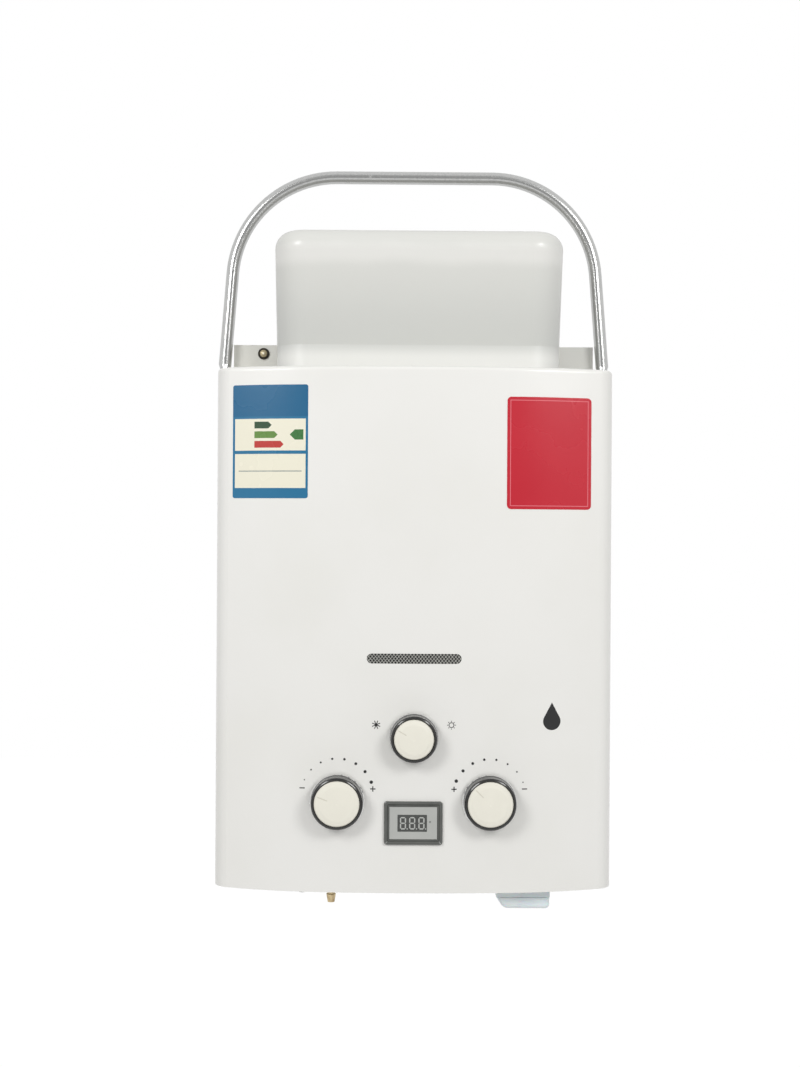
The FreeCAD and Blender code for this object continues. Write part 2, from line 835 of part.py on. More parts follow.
def hot_water_pipe():
    points = [(-chamber_half_width, tube_rear_y, tube_z), (hot_pipe_x, tube_rear_y, tube_z),
              (hot_pipe_x, hot_outlet_y, valve_bottom)]
    return bent_rod(points, pipe_bend, tube_radius)


def tray_block(inset, bottom, top):
    x = tray_half_width - inset
    return block(-x, x, inset - tray_front, -tray_rear - inset, bottom, top)


def burner_tray():
    top = chamber_bottom
    bottom = top - tray_height
    rim = tray_block(0, top - sheet, top).cut(chamber_block(tray_rim, top - sheet - past, top + past))
    low, high = bottom + bracket_rise, bottom + bracket_rise + bracket_height
    brackets = []
    for side in (-1, 1):
        x, foot = side * bracket_x, side * (bracket_x - bracket_foot)
        brackets.append(block(x, x - side * bracket_sheet, -tray_rear, -back_sheet, low, high))
        brackets.append(block(x, foot, -back_sheet - bracket_sheet, -back_sheet, low, high))
    shell = tray_block(0, bottom, top).cut(tray_block(sheet, bottom - past, top + past))
    shell = shell.fuse([rim] + brackets)
    wall = -tray_front - past, -tray_front + sheet + past
    window = block(-window_width / 2, window_width / 2, *wall, -slot_drop - window_height / 2,
                   -slot_drop + window_height / 2)
    holes = [rod(probe_hole_radius, (x, wall[0], -slot_drop), (x, wall[1], -slot_drop))
             for x in (-electrode_x, electrode_x)]
    return shell.cut([window] + holes)


def sight_glass():
    """A mica pane over the tray's window, in line with the cover's slot."""
    reach = window_width / 2 + glass_margin
    half = window_height / 2 + glass_margin
    return block(-reach, reach, -tray_front - glass_thickness, -tray_front,
                 -slot_drop - half, -slot_drop + half)


def burner_blade(x):
    """A pressed blade: a ported head on a thin web, fed by a flared mixing tube."""
    front, rear = -tray_front + sheet + seat_gap, -tray_rear - sheet - seat_gap
    low = blade_top - blade_height
    neck = blade_top - blade_head
    head = block(x - blade_width / 2, x + blade_width / 2, front, rear, neck, blade_top)
    web = block(x - blade_web / 2, x + blade_web / 2, front, rear, low, neck)
    pitch = (rear - front) / (port_count + 1)
    port_reach = blade_width / 2 - port_margin
    ports = []
    for i in range(port_count):
        y = front + pitch * (i + 1)
        ports.append(block(x - port_reach, x + port_reach, y - port_width / 2, y + port_width / 2,
                           blade_top - port_depth, blade_top + past))
    axis = (x, 0, low + venturi_radius)
    bore, mouth = venturi_radius - venturi_wall, venturi_mouth - venturi_wall
    flare_end = front + venturi_flare
    tube = turned(axis, "y", [
        (0, front), (mouth, front), (venturi_mouth, front - mouth_lip), (venturi_radius, flare_end),
        (venturi_radius, front + venturi_length), (0, front + venturi_length + venturi_radius)])
    lip, half_wall = front - 2 * mouth_lip, venturi_wall / 2
    throat = turned(axis, "y", [
        (0, lip), (mouth + half_wall, lip), (mouth - half_wall, front), (bore, flare_end),
        (bore, front + throat_depth), (0, front + throat_depth)])
    return head.fuse([web, tube]).cut(ports + [throat])


def burner_blades():
    return [burner_blade(x) for x in blade_places]


def gas_manifold():
    """A square rail across the blades, with the selector valve's housing at its middle."""
    half = manifold_section / 2
    rail = block(-manifold_half_length, manifold_half_length, manifold_rear_y - manifold_section,
                 manifold_rear_y, manifold_z - half, manifold_z + half)
    housing = rod(selector_housing_radius, (selector_x, selector_face_y, -selector_drop),
                  (selector_x, manifold_rear_y + housing_back, -selector_drop))
    return rail.fuse(housing).cut(spindle_bore(selector_x, selector_drop, selector_face_y))


def gas_nozzles():
    """One brass jet for each blade, in the rail's rear face."""
    foot, tip = manifold_rear_y, manifold_rear_y + nozzle_length
    profile = [(0, foot), (nozzle_radius, foot), (nozzle_radius, foot + nozzle_hex_length),
               (nozzle_tip_radius, tip), (0, tip)]
    return [turned((x, 0, manifold_z), "y", profile) for x in blade_places]


def gas_riser():
    """The short pipe from the gas valve up to the manifold."""
    low, high = valve_top, manifold_z - manifold_section / 2
    return turned((riser_x, riser_y, 0), "z", [
        (0, low), (riser_flange_radius, low), (riser_flange_radius, low + riser_flange),
        (riser_radius, low + riser_flange), (riser_radius, high - riser_flange),
        (riser_flange_radius, high - riser_flange), (riser_flange_radius, high), (0, high)])


def valve_boss(x):
    """The round boss that holds a knob's spindle, joined to the front of its valve."""
    return rod(valve_boss_radius, (x, valve_front_y + past, -knob_drop), (x, valve_face_y, -knob_drop))


def gas_valve_body():
    """A die-cast block: valve chamber, spindle boss, linkage bore and inlet boss."""
    body = block(gas_valve_left, gas_valve_right, valve_front_y, valve_rear_y, valve_bottom, valve_top)
    body = bend_edges(body, valve_corner, lambda b: b.XLength < 0.01 and b.YLength < 0.01)
    shelf = block(riser_x - shelf_half_width, riser_x + shelf_half_width, riser_y - shelf_front,
                  valve_front_y + past, valve_top - shelf_thickness, valve_top)
    inlet = rod(inlet_boss_radius, (gas_inlet_x, gas_inlet_y, valve_bottom),
                (gas_inlet_x, gas_inlet_y, valve_bottom - inlet_boss))
    ribs = []
    for i in range(rib_count):
        z = valve_bottom + rib_rise + i * rib_pitch
        ribs.append(block(gas_valve_left + valve_corner, gas_valve_right - valve_corner,
                          valve_front_y - rib_depth, valve_front_y, z, z + rib_height))
    body = body.fuse([valve_boss(gas_knob_x), shelf, inlet] + ribs)
    bore_end = gas_valve_right - bore_depth - rod_travel - past
    linkage = rod(rod_radius + running_gap, (gas_valve_right + past, valve_y, valve_z),
                  (bore_end, valve_y, valve_z))
    return body.cut([spindle_bore(gas_knob_x, knob_drop, valve_face_y), linkage])


def water_valve_body():
    """A brass casting: round diaphragm flange, valve box and spindle boss."""
    flange = rod(diaphragm_radius, (water_valve_left, valve_y, valve_z),
                 (water_valve_left + water_flange, valve_y, valve_z))
    box = block(water_valve_left + water_flange / 2, water_valve_right, valve_front_y, valve_rear_y,
                valve_bottom, valve_top - water_box_drop)
    box = bend_edges(box, valve_corner,
                     lambda b: b.XLength < 0.01 and b.YLength < 0.01 and b.XMin > water_valve_right - past)
    body = flange.fuse([box, valve_boss(water_knob_x)])
    return body.cut(spindle_bore(water_knob_x, knob_drop, valve_face_y))


def diaphragm_case():
    """The dished cover that clamps the diaphragm, houses its disc and guides the push rod."""
    seat = water_valve_left - diaphragm_thickness
    out = seat - diaphragm_case_depth
    bore = rod_radius + running_gap
    side = rod_head_radius + case_side_gap
    outside = side + case_wall
    profile = [
        (bore, out), (case_boss_radius, out), (case_boss_radius + case_rim / 2, out + case_rim),
        (outside - case_wall / 3, out + case_rim + case_wall), (outside, seat - case_rim),
        (diaphragm_radius, seat - case_rim), (diaphragm_radius, seat), (side, seat),
        (side, out + case_floor + past), (bore, out + case_floor),
    ]
    return turned((0, valve_y, valve_z), "x", profile)


def diaphragm():
    return rod(diaphragm_radius, (water_valve_left - diaphragm_thickness, valve_y, valve_z),
               (water_valve_left, valve_y, valve_z))


def diaphragm_screws():
    heads = []
    x = water_valve_left - diaphragm_thickness - case_rim
    for i in range(diaphragm_bolt_count):
        turn = 2 * math.pi * (i + 0.5) / diaphragm_bolt_count
        head = hexagon((0, 0, 0), diaphragm_bolt_hex, diaphragm_bolt_head)
        head.rotate(Vector(0, 0, 0), Vector(0, 1, 0), -90)
        head.translate(Vector(x, valve_y + diaphragm_bolt_circle * math.cos(turn),
                              valve_z + diaphragm_bolt_circle * math.sin(turn)))
        heads.append(head)
    return heads


def push_rod():
    """The diaphragm's disc and rod, with the collar that works the switch."""
    head_back = water_valve_left - diaphragm_thickness - seat_gap
    head_front = head_back - rod_head
    collar_back = collar_x + rod_collar_width
    tip = gas_valve_right - bore_depth
    profile = [
        (0, head_back), (rod_head_radius, head_back), (rod_head_radius, head_front), (rod_radius, head_front),
        (rod_radius, collar_back), (rod_collar_radius, collar_back), (rod_collar_radius, collar_x),
        (rod_radius, collar_x), (rod_radius, tip), (0, tip),
    ]
    return turned((0, valve_y, valve_z), "x", profile)


def solenoid_valve():
    """The round can of the gas cut-off magnet, with two flat terminals."""
    x0 = gas_valve_left
    x1 = x0 - solenoid_length
    y = valve_y - solenoid_offset
    flange = solenoid_radius + solenoid_flange_step
    can = turned((0, y, valve_z), "x", [
        (0, x0), (flange, x0), (flange, x0 - solenoid_flange), (solenoid_radius, x0 - solenoid_flange),
        (solenoid_radius, x1 + solenoid_bevel), (solenoid_radius - solenoid_bevel, x1), (0, x1)])
    half = terminal_thickness / 2
    terminals = [block(x1 - terminal_length, x1, y + s - half, y + s + half,
                       valve_z - terminal_half_height, valve_z + terminal_half_height)
                 for s in (-solenoid_offset, solenoid_offset)]
    return can.fuse(terminals)


def gas_inlet_barb():
    """A brass union with a hexagon above the plate and a ridged hose end below it."""
    top = valve_bottom - inlet_boss
    root = cover_bottom - barb_root_drop
    foot = root + union_foot
    pitch = (root - barb_tip) / barb_ridges
    taper = (barb_root_radius - barb_tip_radius) / barb_ridges
    profile = [(barb_bore, top), (union_radius, top), (union_radius, foot), (barb_root_radius, foot),
               (barb_root_radius, root)]
    for i in range(barb_ridges):
        z = root - i * pitch
        radius = barb_root_radius - i * taper
        profile += [(radius, z - barb_land), (radius - barb_ridge_depth, z - pitch)]
    profile.append((barb_bore, barb_tip))
    stem = turned((gas_inlet_x, gas_inlet_y, 0), "z", profile)
    nut = hexagon((gas_inlet_x, gas_inlet_y, top - union_hex_drop), union_hex, union_hex_height)
    bore = rod(barb_bore, (gas_inlet_x, gas_inlet_y, barb_tip), (gas_inlet_x, gas_inlet_y, top))
    return stem.fuse(nut).cut(bore)


def water_nipple(x, y, top):
    """A half inch male thread below the plate, a hexagon above it and a bore through both."""
    shank_top = top - nipple_shank_drop
    shank = turned((x, y, 0), "z", [
        (nipple_bore, nipple_end), (nipple_radius - nipple_bevel, nipple_end),
        (nipple_radius, nipple_end + nipple_bevel), (nipple_radius, shank_top), (nipple_bore, shank_top)])
    low = top - nipple_hex_height
    nut = hexagon((x, y, low), nipple_hex, nipple_hex_height)
    nut = nut.cut(rod(nipple_bore, (x, y, low - past), (x, y, shank_top)))
    return shank.fuse(nut)


def ignition_controller():
    """The pulse box on the back plate, with two lead sockets."""
    x1 = flange_outer - back_sheet - panel_gap
    x0 = x1 - igniter_width
    top = igniter_z + igniter_height / 2
    body = block(x0, x1, -back_sheet - igniter_depth, -back_sheet, top - igniter_height, top)
    body = bend_edges(body, igniter_corner, lambda b: b.XLength < 0.01 and b.ZLength < 0.01)
    y = -back_sheet - igniter_depth / 2
    sockets = [rod(socket_radius, (x0 + d, y, top), (x0 + d, y, top + socket_height)) for d in socket_places]
    return body.fuse(sockets)


def ceramic_probe(x, reach):
    """A wire in a ceramic sleeve, through the tray's front wall."""
    y = -tray_front
    profile = [
        (0, y - probe_lead), (probe_radius, y - probe_lead), (probe_radius, y - probe_collar),
        (probe_collar_radius, y - probe_collar), (probe_collar_radius, y), (probe_radius, y),
        (probe_radius, y + probe_sleeve), (probe_wire_radius, y + probe_sleeve),
        (probe_wire_radius, y + reach), (0, y + reach),
    ]
    return turned((x, 0, -slot_drop), "y", profile)


def overheat_thermostat():
    """A snap disc thermostat on the chamber's right wall."""
    x = chamber_half_width
    can = thermostat_radius - thermostat_flange
    seat, top = x + thermostat_flange, x + thermostat_height
    return turned((0, chamber_mid_y, thermostat_z), "x", [
        (0, x), (thermostat_radius, x), (thermostat_radius, seat), (can, seat), (can, top), (0, top)])


def lever_axis():
    """The switch lever's pin, in X and Z."""
    return collar_x - seat_gap - lever_thickness / 2, valve_z + rod_collar_radius + lever_arm


def microswitch():
    """A small switch on the side of the gas valve, over the push rod."""
    x, z = lever_axis()
    right = x - lever_pin_radius - seat_gap
    low = z - lever_pin_radius + switch_lap
    return block(gas_valve_right, right, valve_y - switch_depth / 2, valve_y + switch_depth / 2, low,
                 low + switch_height)


def switch_lever():
    """The spring leaf that the collar of the push rod pushes over."""
    x, z = lever_axis()
    y0, y1 = valve_y - lever_width / 2, valve_y + lever_width / 2
    foot = valve_z + rod_radius + lever_foot_gap
    leaf = block(x - lever_thickness / 2, x + lever_thickness / 2, y0, y1, foot, z)
    return leaf.fuse(rod(lever_pin_radius, (x, y0, z), (x, y1, z)))


def battery_outline(inset, z_top):
    """The box's front outline: a slanted finger edge at the left and a round hinge edge at the right."""
    left, right = battery_left + inset, battery_right - inset
    bottom = battery_bottom + inset
    reach = lid_round * (1 - math.cos(math.pi / 4))
    points = [Vector(left, 0, z_top), Vector(left, 0, battery_split - split_drop),
              Vector(left + lid_slant, 0, bottom), Vector(right - lid_round, 0, bottom)]
    bend_end, top_right = Vector(right, 0, bottom + lid_round), Vector(right, 0, z_top)
    edges = [Part.LineSegment(a, b).toShape() for a, b in zip(points, points[1:])]
    edges.append(Part.Arc(points[-1], Vector(right - reach, 0, bottom + reach), bend_end).toShape())
    edges.append(Part.LineSegment(bend_end, top_right).toShape())
    edges.append(Part.LineSegment(top_right, points[0]).toShape())
    return Part.Face(Part.Wire(edges))


def battery_prism(inset, z_top):
    face = battery_outline(inset, z_top)
    face.translate(Vector(0, battery_front + inset, 0))
    return face.extrude(Vector(0, battery_rear - battery_front - 2 * inset, 0))


def battery_block(margin, low, high, rear_margin):
    """A block round the battery box's plan, grown by a margin."""
    return block(battery_left - margin, battery_right + margin, battery_front - margin,
                 battery_rear + rear_margin, low, high)


def battery_shell(low, high):
    """The part of the box's thin shell between two heights."""
    hollow = battery_prism(battery_wall, battery_top - battery_wall)
    return battery_prism(0, battery_top).cut(hollow).common(battery_block(past, low, high, past))


def lid_axis():
    """Where the lid's hinge axis lies, behind the box, in Y and Z."""
    return battery_rear + lid_knuckle + seat_gap, battery_split + lid_knuckle


def knuckle(x0, x1, radius):
    y, z = lid_axis()
    return rod(radius, (x0, y, z), (x1, y, z))


def battery_box():
    """The open-bottomed box that takes the two cells, with hinge ears on its rear wall."""
    shell = battery_shell(battery_split + seat_gap / 2, battery_top)
    y, z = lid_axis()
    ears = []
    for x in (battery_left, battery_right - lid_knuckle_length):
        end = x + lid_knuckle_length
        ears += [knuckle(x, end, lid_knuckle), block(x, end, battery_rear, y, z, z + lid_knuckle)]
    low = base_z + back_sheet
    rim = battery_block(box_rim, low, low + box_rim_height, 0)
    rim = rim.cut(battery_block(0, low - past, low + box_rim_height + past, 0))
    bore = knuckle(battery_left - past, battery_right + past, lid_pin_radius + running_gap)
    return shell.fuse(ears + [rim]).cut(bore)


def battery_lid():
    shell = battery_shell(battery_bottom - past, battery_split - seat_gap / 2)
    x0 = battery_left + lid_knuckle_length + seat_gap
    x1 = battery_right - lid_knuckle_length - seat_gap
    y, z = lid_axis()
    barrel = knuckle(x0, x1, lid_knuckle)
    arm = block(x0, x1, battery_rear + seat_gap, y, battery_split - lid_knuckle, z)
    foot = block(x0, x1, battery_rear - battery_wall / 2, y, battery_split - 2 * lid_knuckle,
                 battery_split - seat_gap)
    hole = knuckle(battery_left, battery_right, lid_pin_radius + running_gap)
    return shell.fuse([barrel, arm, foot]).cut(hole)


def battery_lid_pin():
    return knuckle(battery_left + seat_gap, battery_right - seat_gap, lid_pin_radius)


def battery_cells():
    """Two large cells, the front one the other way up."""
    x = (battery_left + battery_right) / 2
    centre_y = (battery_front + battery_rear) / 2
    half = cell_height / 2
    middle = battery_split - cell_lift + half
    profile = [
        (0, -half), (cell_radius - cell_shoulder, -half), (cell_radius, cell_bevel - half),
        (cell_radius, half - cell_shoulder), (cell_radius - cell_bevel, half - cell_cap),
        (cell_cap_radius, half - cell_cap), (cell_cap_radius, half), (0, half),
    ]
    cells = []
    for side in (-1, 1):
        y = centre_y + side * (cell_radius + cell_gap)
        cells.append(turned((x, y, middle), "z", [(r, -side * a) for r, a in profile]))
    return cells


def nodes():
    gas = gas_knob_x, knob_drop
    water = water_knob_x, knob_drop
    selector = selector_x, selector_drop
    return {
        "front_cover": front_cover(),
        "back_plate": back_plate(),
        "base_plate": base_plate(),
        "flue_hood": flue_hood(),
        "carry_handle": carry_handle(),
        "handle_pivot_screws": handle_pivot_screws(),
        "earth_screw": earth_screw(),
        "cover_screws": cover_screws(),
        "sight_mesh": sight_mesh(),
        "gas_knob_ring": knob_ring(*gas, knob_radius),
        "gas_knob_skirt": knob_skirt(*gas, knob_radius),
        "gas_knob_cap": knob_cap(*gas, knob_radius),
        "gas_spindle": knob_spindle(*gas, valve_face_y),
        "water_knob_ring": knob_ring(*water, knob_radius),
        "water_knob_skirt": knob_skirt(*water, knob_radius),
        "water_knob_cap": knob_cap(*water, knob_radius),
        "water_spindle": knob_spindle(*water, valve_face_y),
        "selector_ring": knob_ring(*selector, selector_radius),
        "selector_skirt": knob_skirt(*selector, selector_radius),
        "selector_cap": knob_cap(*selector, selector_radius),
        "selector_spindle": knob_spindle(*selector, selector_face_y),
        "display_bezel": display_bezel(),
        "display_module": display_module(),
        "combustion_chamber": combustion_chamber(),
        "exchanger_fins": exchanger_fins(),
        "return_bend": return_bend(),
        "cold_water_pipe": cold_water_pipe(),
        "hot_water_pipe": hot_water_pipe(),
        "burner_tray": burner_tray(),
        "sight_glass": sight_glass(),
        "burner_blades": burner_blades(),
        "gas_manifold": gas_manifold(),
        "gas_nozzles": gas_nozzles(),
        "gas_riser": gas_riser(),
        "gas_valve_body": gas_valve_body(),
        "water_valve_body": water_valve_body(),
        "diaphragm_case": diaphragm_case(),
        "diaphragm": diaphragm(),
        "diaphragm_screws": diaphragm_screws(),
        "push_rod": push_rod(),
        "solenoid_valve": solenoid_valve(),
        "gas_inlet_barb": gas_inlet_barb(),
        "cold_inlet_nipple": water_nipple(cold_inlet_x, cold_inlet_y, valve_bottom),
        "hot_outlet_nipple": water_nipple(hot_pipe_x, hot_outlet_y, valve_bottom),
        "ignition_controller": ignition_controller(),
        "ignition_electrode": ceramic_probe(electrode_x, electrode_reach),
        "flame_sensor": ceramic_probe(-electrode_x, flame_sensor_reach),
        "overheat_thermostat": overheat_thermostat(),
        "microswitch": microswitch(),
        "switch_lever": switch_lever(),
        "battery_box": battery_box(),
        "battery_lid": battery_lid(),
        "battery_lid_pin": battery_lid_pin(),
        "battery_cells": battery_cells(),
    }


os.makedirs("parts", exist_ok=True)
for name, shape in nodes().items():
    if isinstance(shape, list):
        shape = Part.makeCompound(shape)
    shape.exportStep("parts/" + name + ".step")
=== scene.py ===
import json
import math

import bmesh
import bpy
from mathutils import Matrix, Vector


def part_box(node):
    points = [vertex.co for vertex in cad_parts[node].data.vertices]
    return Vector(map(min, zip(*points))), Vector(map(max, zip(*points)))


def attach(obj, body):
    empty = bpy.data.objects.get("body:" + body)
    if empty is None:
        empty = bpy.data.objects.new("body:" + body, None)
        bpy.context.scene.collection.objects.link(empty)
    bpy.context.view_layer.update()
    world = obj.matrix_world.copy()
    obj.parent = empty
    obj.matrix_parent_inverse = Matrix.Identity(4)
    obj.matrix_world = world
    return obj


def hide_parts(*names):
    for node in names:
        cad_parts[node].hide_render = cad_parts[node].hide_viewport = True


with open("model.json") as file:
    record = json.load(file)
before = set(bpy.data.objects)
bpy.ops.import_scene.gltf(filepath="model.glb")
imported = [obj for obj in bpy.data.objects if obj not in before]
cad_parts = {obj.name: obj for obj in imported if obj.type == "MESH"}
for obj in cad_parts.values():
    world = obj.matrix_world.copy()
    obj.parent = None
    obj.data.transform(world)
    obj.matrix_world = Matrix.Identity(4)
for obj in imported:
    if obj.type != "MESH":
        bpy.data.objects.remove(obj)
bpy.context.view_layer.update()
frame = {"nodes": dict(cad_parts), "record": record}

# Looks of a portable propane water heater. Metres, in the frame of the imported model.
mm = 0.001


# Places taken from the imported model

def middle(node):
    low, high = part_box(node)
    return (low + high) / 2


front_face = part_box("front_cover")[0].y
crown_radius = 1000 * mm
crown_half_width = 72 * mm
shoulder_radius = 260 * mm
gas_knob = middle("gas_knob_ring")
water_knob = middle("water_knob_ring")
selector = middle("selector_ring")
display = middle("display_bezel")
screen_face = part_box("display_module")[0].y
sight = middle("sight_mesh")


def crown(x):
    """Y of the cover's outer face at one X."""
    x = abs(x)
    if x <= crown_half_width:
        return front_face + crown_radius - math.sqrt(crown_radius ** 2 - x ** 2)
    lean = crown_half_width / crown_radius
    upright = math.cos(math.asin(lean))
    turn = math.asin(lean + (x - crown_half_width) / shoulder_radius)
    return front_face + crown_radius * (1 - upright) + shoulder_radius * (upright - math.cos(turn))


def rgb(red, green, blue):
    """A colour written in the usual 0 to 255 steps, as the linear values that shaders take."""
    def linear(step):
        share = step / 255
        return share / 12.92 if share <= 0.04045 else ((share + 0.055) / 1.055) ** 2.4
    return (linear(red), linear(green), linear(blue), 1.0)


# Shader and geometry trees

class Number:
    """A number socket that takes part in plain arithmetic."""

    def __init__(self, tree, socket):
        self.tree = tree
        self.socket = socket

    def apply(self, operation, *others, clamp=False):
        settings = {"operation": operation, "use_clamp": clamp}
        values = dict(enumerate((self,) + others))
        return self.tree.number("ShaderNodeMath", settings, values)

    def __add__(self, other):
        return self.apply("ADD", other)

    def __sub__(self, other):
        return self.apply("SUBTRACT", other)

    def __mul__(self, other):
        return self.apply("MULTIPLY", other)

    def __truediv__(self, other):
        return self.apply("DIVIDE", other)

    def __gt__(self, other):
        return self.apply("GREATER_THAN", other)

    def __lt__(self, other):
        return self.apply("LESS_THAN", other)

    def __rsub__(self, other):
        return self.tree.number("ShaderNodeMath", {"operation": "SUBTRACT"}, {0: other, 1: self})

    def __abs__(self):
        return self.apply("ABSOLUTE")

    __radd__ = __add__
    __rmul__ = __mul__

    def clamped(self):
        return self.apply("ADD", 0.0, clamp=True)

    def either(self, other):
        return self.apply("MAXIMUM", other)

    def root(self):
        return self.apply("SQRT")


class Tree:
    """A node tree that is filled from Python."""

    def __init__(self, nodes):
        self.nodes = nodes

    def node(self, kind, settings=None, values=None):
        node = self.nodes.nodes.new(kind)
        for name, value in (settings or {}).items():
            setattr(node, name, value)
        for key, value in (values or {}).items():
            self.feed(node.inputs[key], value)
        return node

    def feed(self, socket, value):
        if isinstance(value, Number):
            value = value.socket
        if isinstance(value, bpy.types.NodeSocket):
            self.nodes.links.new(value, socket)
        else:
            socket.default_value = value

    def number(self, kind, settings=None, values=None):
        return Number(self, self.node(kind, settings, values).outputs[0])


class Finish(Tree):
    """A material for one finish, with the patterns that finishes share."""

    def __init__(self, name):
        self.material = bpy.data.materials.new(name)
        self.material.use_nodes = True
        super().__init__(self.material.node_tree)
        self.nodes.nodes.clear()
        self.place = self.node("ShaderNodeTexCoord").outputs["Object"]
        axes = self.node("ShaderNodeSeparateXYZ", None, {0: self.place}).outputs
        self.x, self.y, self.z = (Number(self, socket) for socket in axes)

    def peel(self):
        """The slight orange peel of stoved enamel."""
        return self.relief(self.noise(2.2 * mm, 2.0) + self.noise(0.7 * mm, 1.0) * 0.3, 0.02 * mm)

    def stretched(self, scale):
        return self.node("ShaderNodeMapping", None, {"Vector": self.place, "Scale": scale}).outputs[0]

    def noise(self, size, detail=2.0, where=None, roughness=0.5):
        """Soft clouds of about one size in metres, from 0 to 1."""
        values = {"Vector": where or self.place, "Scale": 1 / size, "Detail": detail}
        values["Roughness"] = roughness
        return self.number("ShaderNodeTexNoise", None, values)

    def speckle(self, size):
        return self.number("ShaderNodeTexVoronoi", None, {"Vector": self.place, "Scale": 1 / size})

    def step(self, value, low, high):
        """0 below low, 1 above high, and smooth in between."""
        values = {"Value": value, "From Min": low, "From Max": high}
        return self.number("ShaderNodeMapRange", {"interpolation_type": "SMOOTHSTEP"}, values)

    def blend(self, mask, first, second):
        node = self.node("ShaderNodeMix", {"data_type": "RGBA"}, {0: mask, 6: first, 7: second})
        return node.outputs[2]

    def panel(self, x0, x1, z0, z1):
        """1 inside an upright rectangle, 0 outside."""
        return (self.x > x0) * (self.x < x1) * (self.z > z0) * (self.z < z1)

    def relief(self, height, depth):
        return self.node("ShaderNodeBump", None, {"Height": height, "Distance": depth}).outputs[0]

    def coat(self, base, roughness, metallic=0.0, normal=None, **fixed):
        """Ends the material in one surface shader."""
        values = {"Base Color": base, "Roughness": roughness, "Metallic": metallic}
        if normal is not None:
            values["Normal"] = normal
        for name, value in fixed.items():
            values[name.replace("_", " ").title()] = value
        shader = self.node("ShaderNodeBsdfPrincipled", None, values)
        self.node("ShaderNodeOutputMaterial", None, {"Surface": shader.outputs[0]})
        return self.material


# Finishes

def enamel(name, tone, shade):
    """Glossy stoved enamel with a faint orange peel and a little grime."""
    f = Finish(name)
    clouds = f.noise(90 * mm, 3.0)
    base = f.blend(f.step(clouds, 0.35, 0.75), tone, shade)
    gloss = 0.3 + f.noise(35 * mm, 3.0) * 0.08
    return f.coat(base, gloss, normal=f.peel(), coat_weight=0.35, coat_roughness=0.12)


def hood_enamel():
    """The hood's white, with painted shade that darkens its leaning face towards its foot, a painted
    highlight band under its top bend, and its collar in the plain white.
    """
    f = Finish("hood_enamel")
    clouds = f.noise(60 * mm, 3.0)
    height = f.z + (clouds - 0.5) * 8 * mm
    # Painted shade: the leaning face darkens from under its top bend down to the crease above the collar.
    face = f.blend(f.step(height, 4 * mm, 74 * mm), rgb(204, 205, 201), rgb(219, 219, 214))
    # Painted highlight: a pale band just under the top bend, where the bend catches the lamps.
    painted_highlight_band = f.step(height, 58 * mm, 68 * mm) * (1 - f.step(height, 72 * mm, 80 * mm))
    face = f.blend(painted_highlight_band * 0.6, face, rgb(236, 235, 231))
    base = f.blend(f.step(f.z, -7 * mm, 5 * mm), rgb(226, 226, 222), face)
    return f.coat(base, 0.34 + clouds * 0.08, normal=f.peel(), coat_weight=0.3, coat_roughness=0.15)


def galvanised():
    """Sheet steel with zinc spangle."""
    f = Finish("galvanised_sheet")
    spangle = f.speckle(9 * mm)
    base = f.blend(f.step(spangle, 0.0, 0.8), rgb(208, 209, 205), rgb(192, 194, 193))
    return f.coat(base, 0.38 + spangle * 0.12, 0.55, f.relief(f.noise(1.2 * mm), 0.02 * mm))


def bright_bar():
    """Drawn and zinc-plated round bar with fine marks along it."""
    f = Finish("handle_zinc")
    marks = f.noise(1.6 * mm, 3.0, f.stretched((1.0, 3.0, 0.12)))
    scuffs = f.step(f.noise(7 * mm, 4.0), 0.62, 0.75)
    base = f.blend(marks, rgb(206, 206, 204), rgb(168, 169, 169))
    rough = 0.16 + marks * 0.12 + scuffs * 0.15
    return f.coat(base, rough, 0.92, f.relief(marks, 0.005 * mm))


def plated_screw():
    f = Finish("zinc_screw")
    haze = f.noise(3 * mm, 3.0)
    return f.coat(f.blend(haze, rgb(190, 190, 186), rgb(158, 160, 160)), 0.26 + haze * 0.2, 0.95,
                  f.relief(f.noise(0.5 * mm), 0.01 * mm))


def brass():
    f = Finish("brass")
    tarnish = f.step(f.noise(6 * mm, 4.0), 0.4, 0.75)
    base = f.blend(tarnish, rgb(206, 188, 150), rgb(146, 122, 88))
    turned_lines = f.noise(0.35 * mm, 2.0, f.stretched((0.15, 0.15, 1.0)))
    return f.coat(base, 0.22 + tarnish * 0.2, 0.95, f.relief(turned_lines, 0.012 * mm))


def earth_screw(centre):
    """Brass screw head with a pale painted highlight at its centre, on a dark toothed washer."""
    f = Finish("earth_screw_brass")
    across, up = f.x - centre.x, f.z - centre.z
    spread = (across * across + up * up).root()
    haze = f.noise(1.5 * mm, 3.0)
    head = f.blend(haze, rgb(196, 184, 152), rgb(150, 136, 106))
    # Painted highlight: a pale disc at the centre of the head.
    head = f.blend(spread < 0.9 * mm, head, rgb(226, 220, 200))
    base = f.blend(f.step(spread, 2.7 * mm, 3.0 * mm), head, rgb(62, 58, 52))
    return f.coat(base, 0.3 + haze * 0.15, 0.8, f.relief(haze, 0.03 * mm))


def bright_gauze():
    f = Finish("bright_gauze")
    soot = f.noise(5 * mm, 3.0)
    return f.coat(f.blend(soot, rgb(216, 216, 210), rgb(176, 176, 170)), 0.35 + soot * 0.2, 0.6)


def gauze_backing():
    f = Finish("gauze_backing")
    return f.coat(f.blend(f.noise(4 * mm), rgb(10, 10, 10), rgb(22, 22, 21)), 0.7)


def black_plastic(name, roughness, grain, coat=0.0):
    f = Finish(name)
    dust = f.step(f.noise(14 * mm, 4.0), 0.5, 0.8)
    base = f.blend(dust, rgb(9, 9, 9), rgb(22, 22, 22))
    moulded = f.relief(f.noise(grain, 2.0), 0.02 * mm)
    return f.coat(base, roughness + dust * 0.12, normal=moulded, coat_weight=coat)


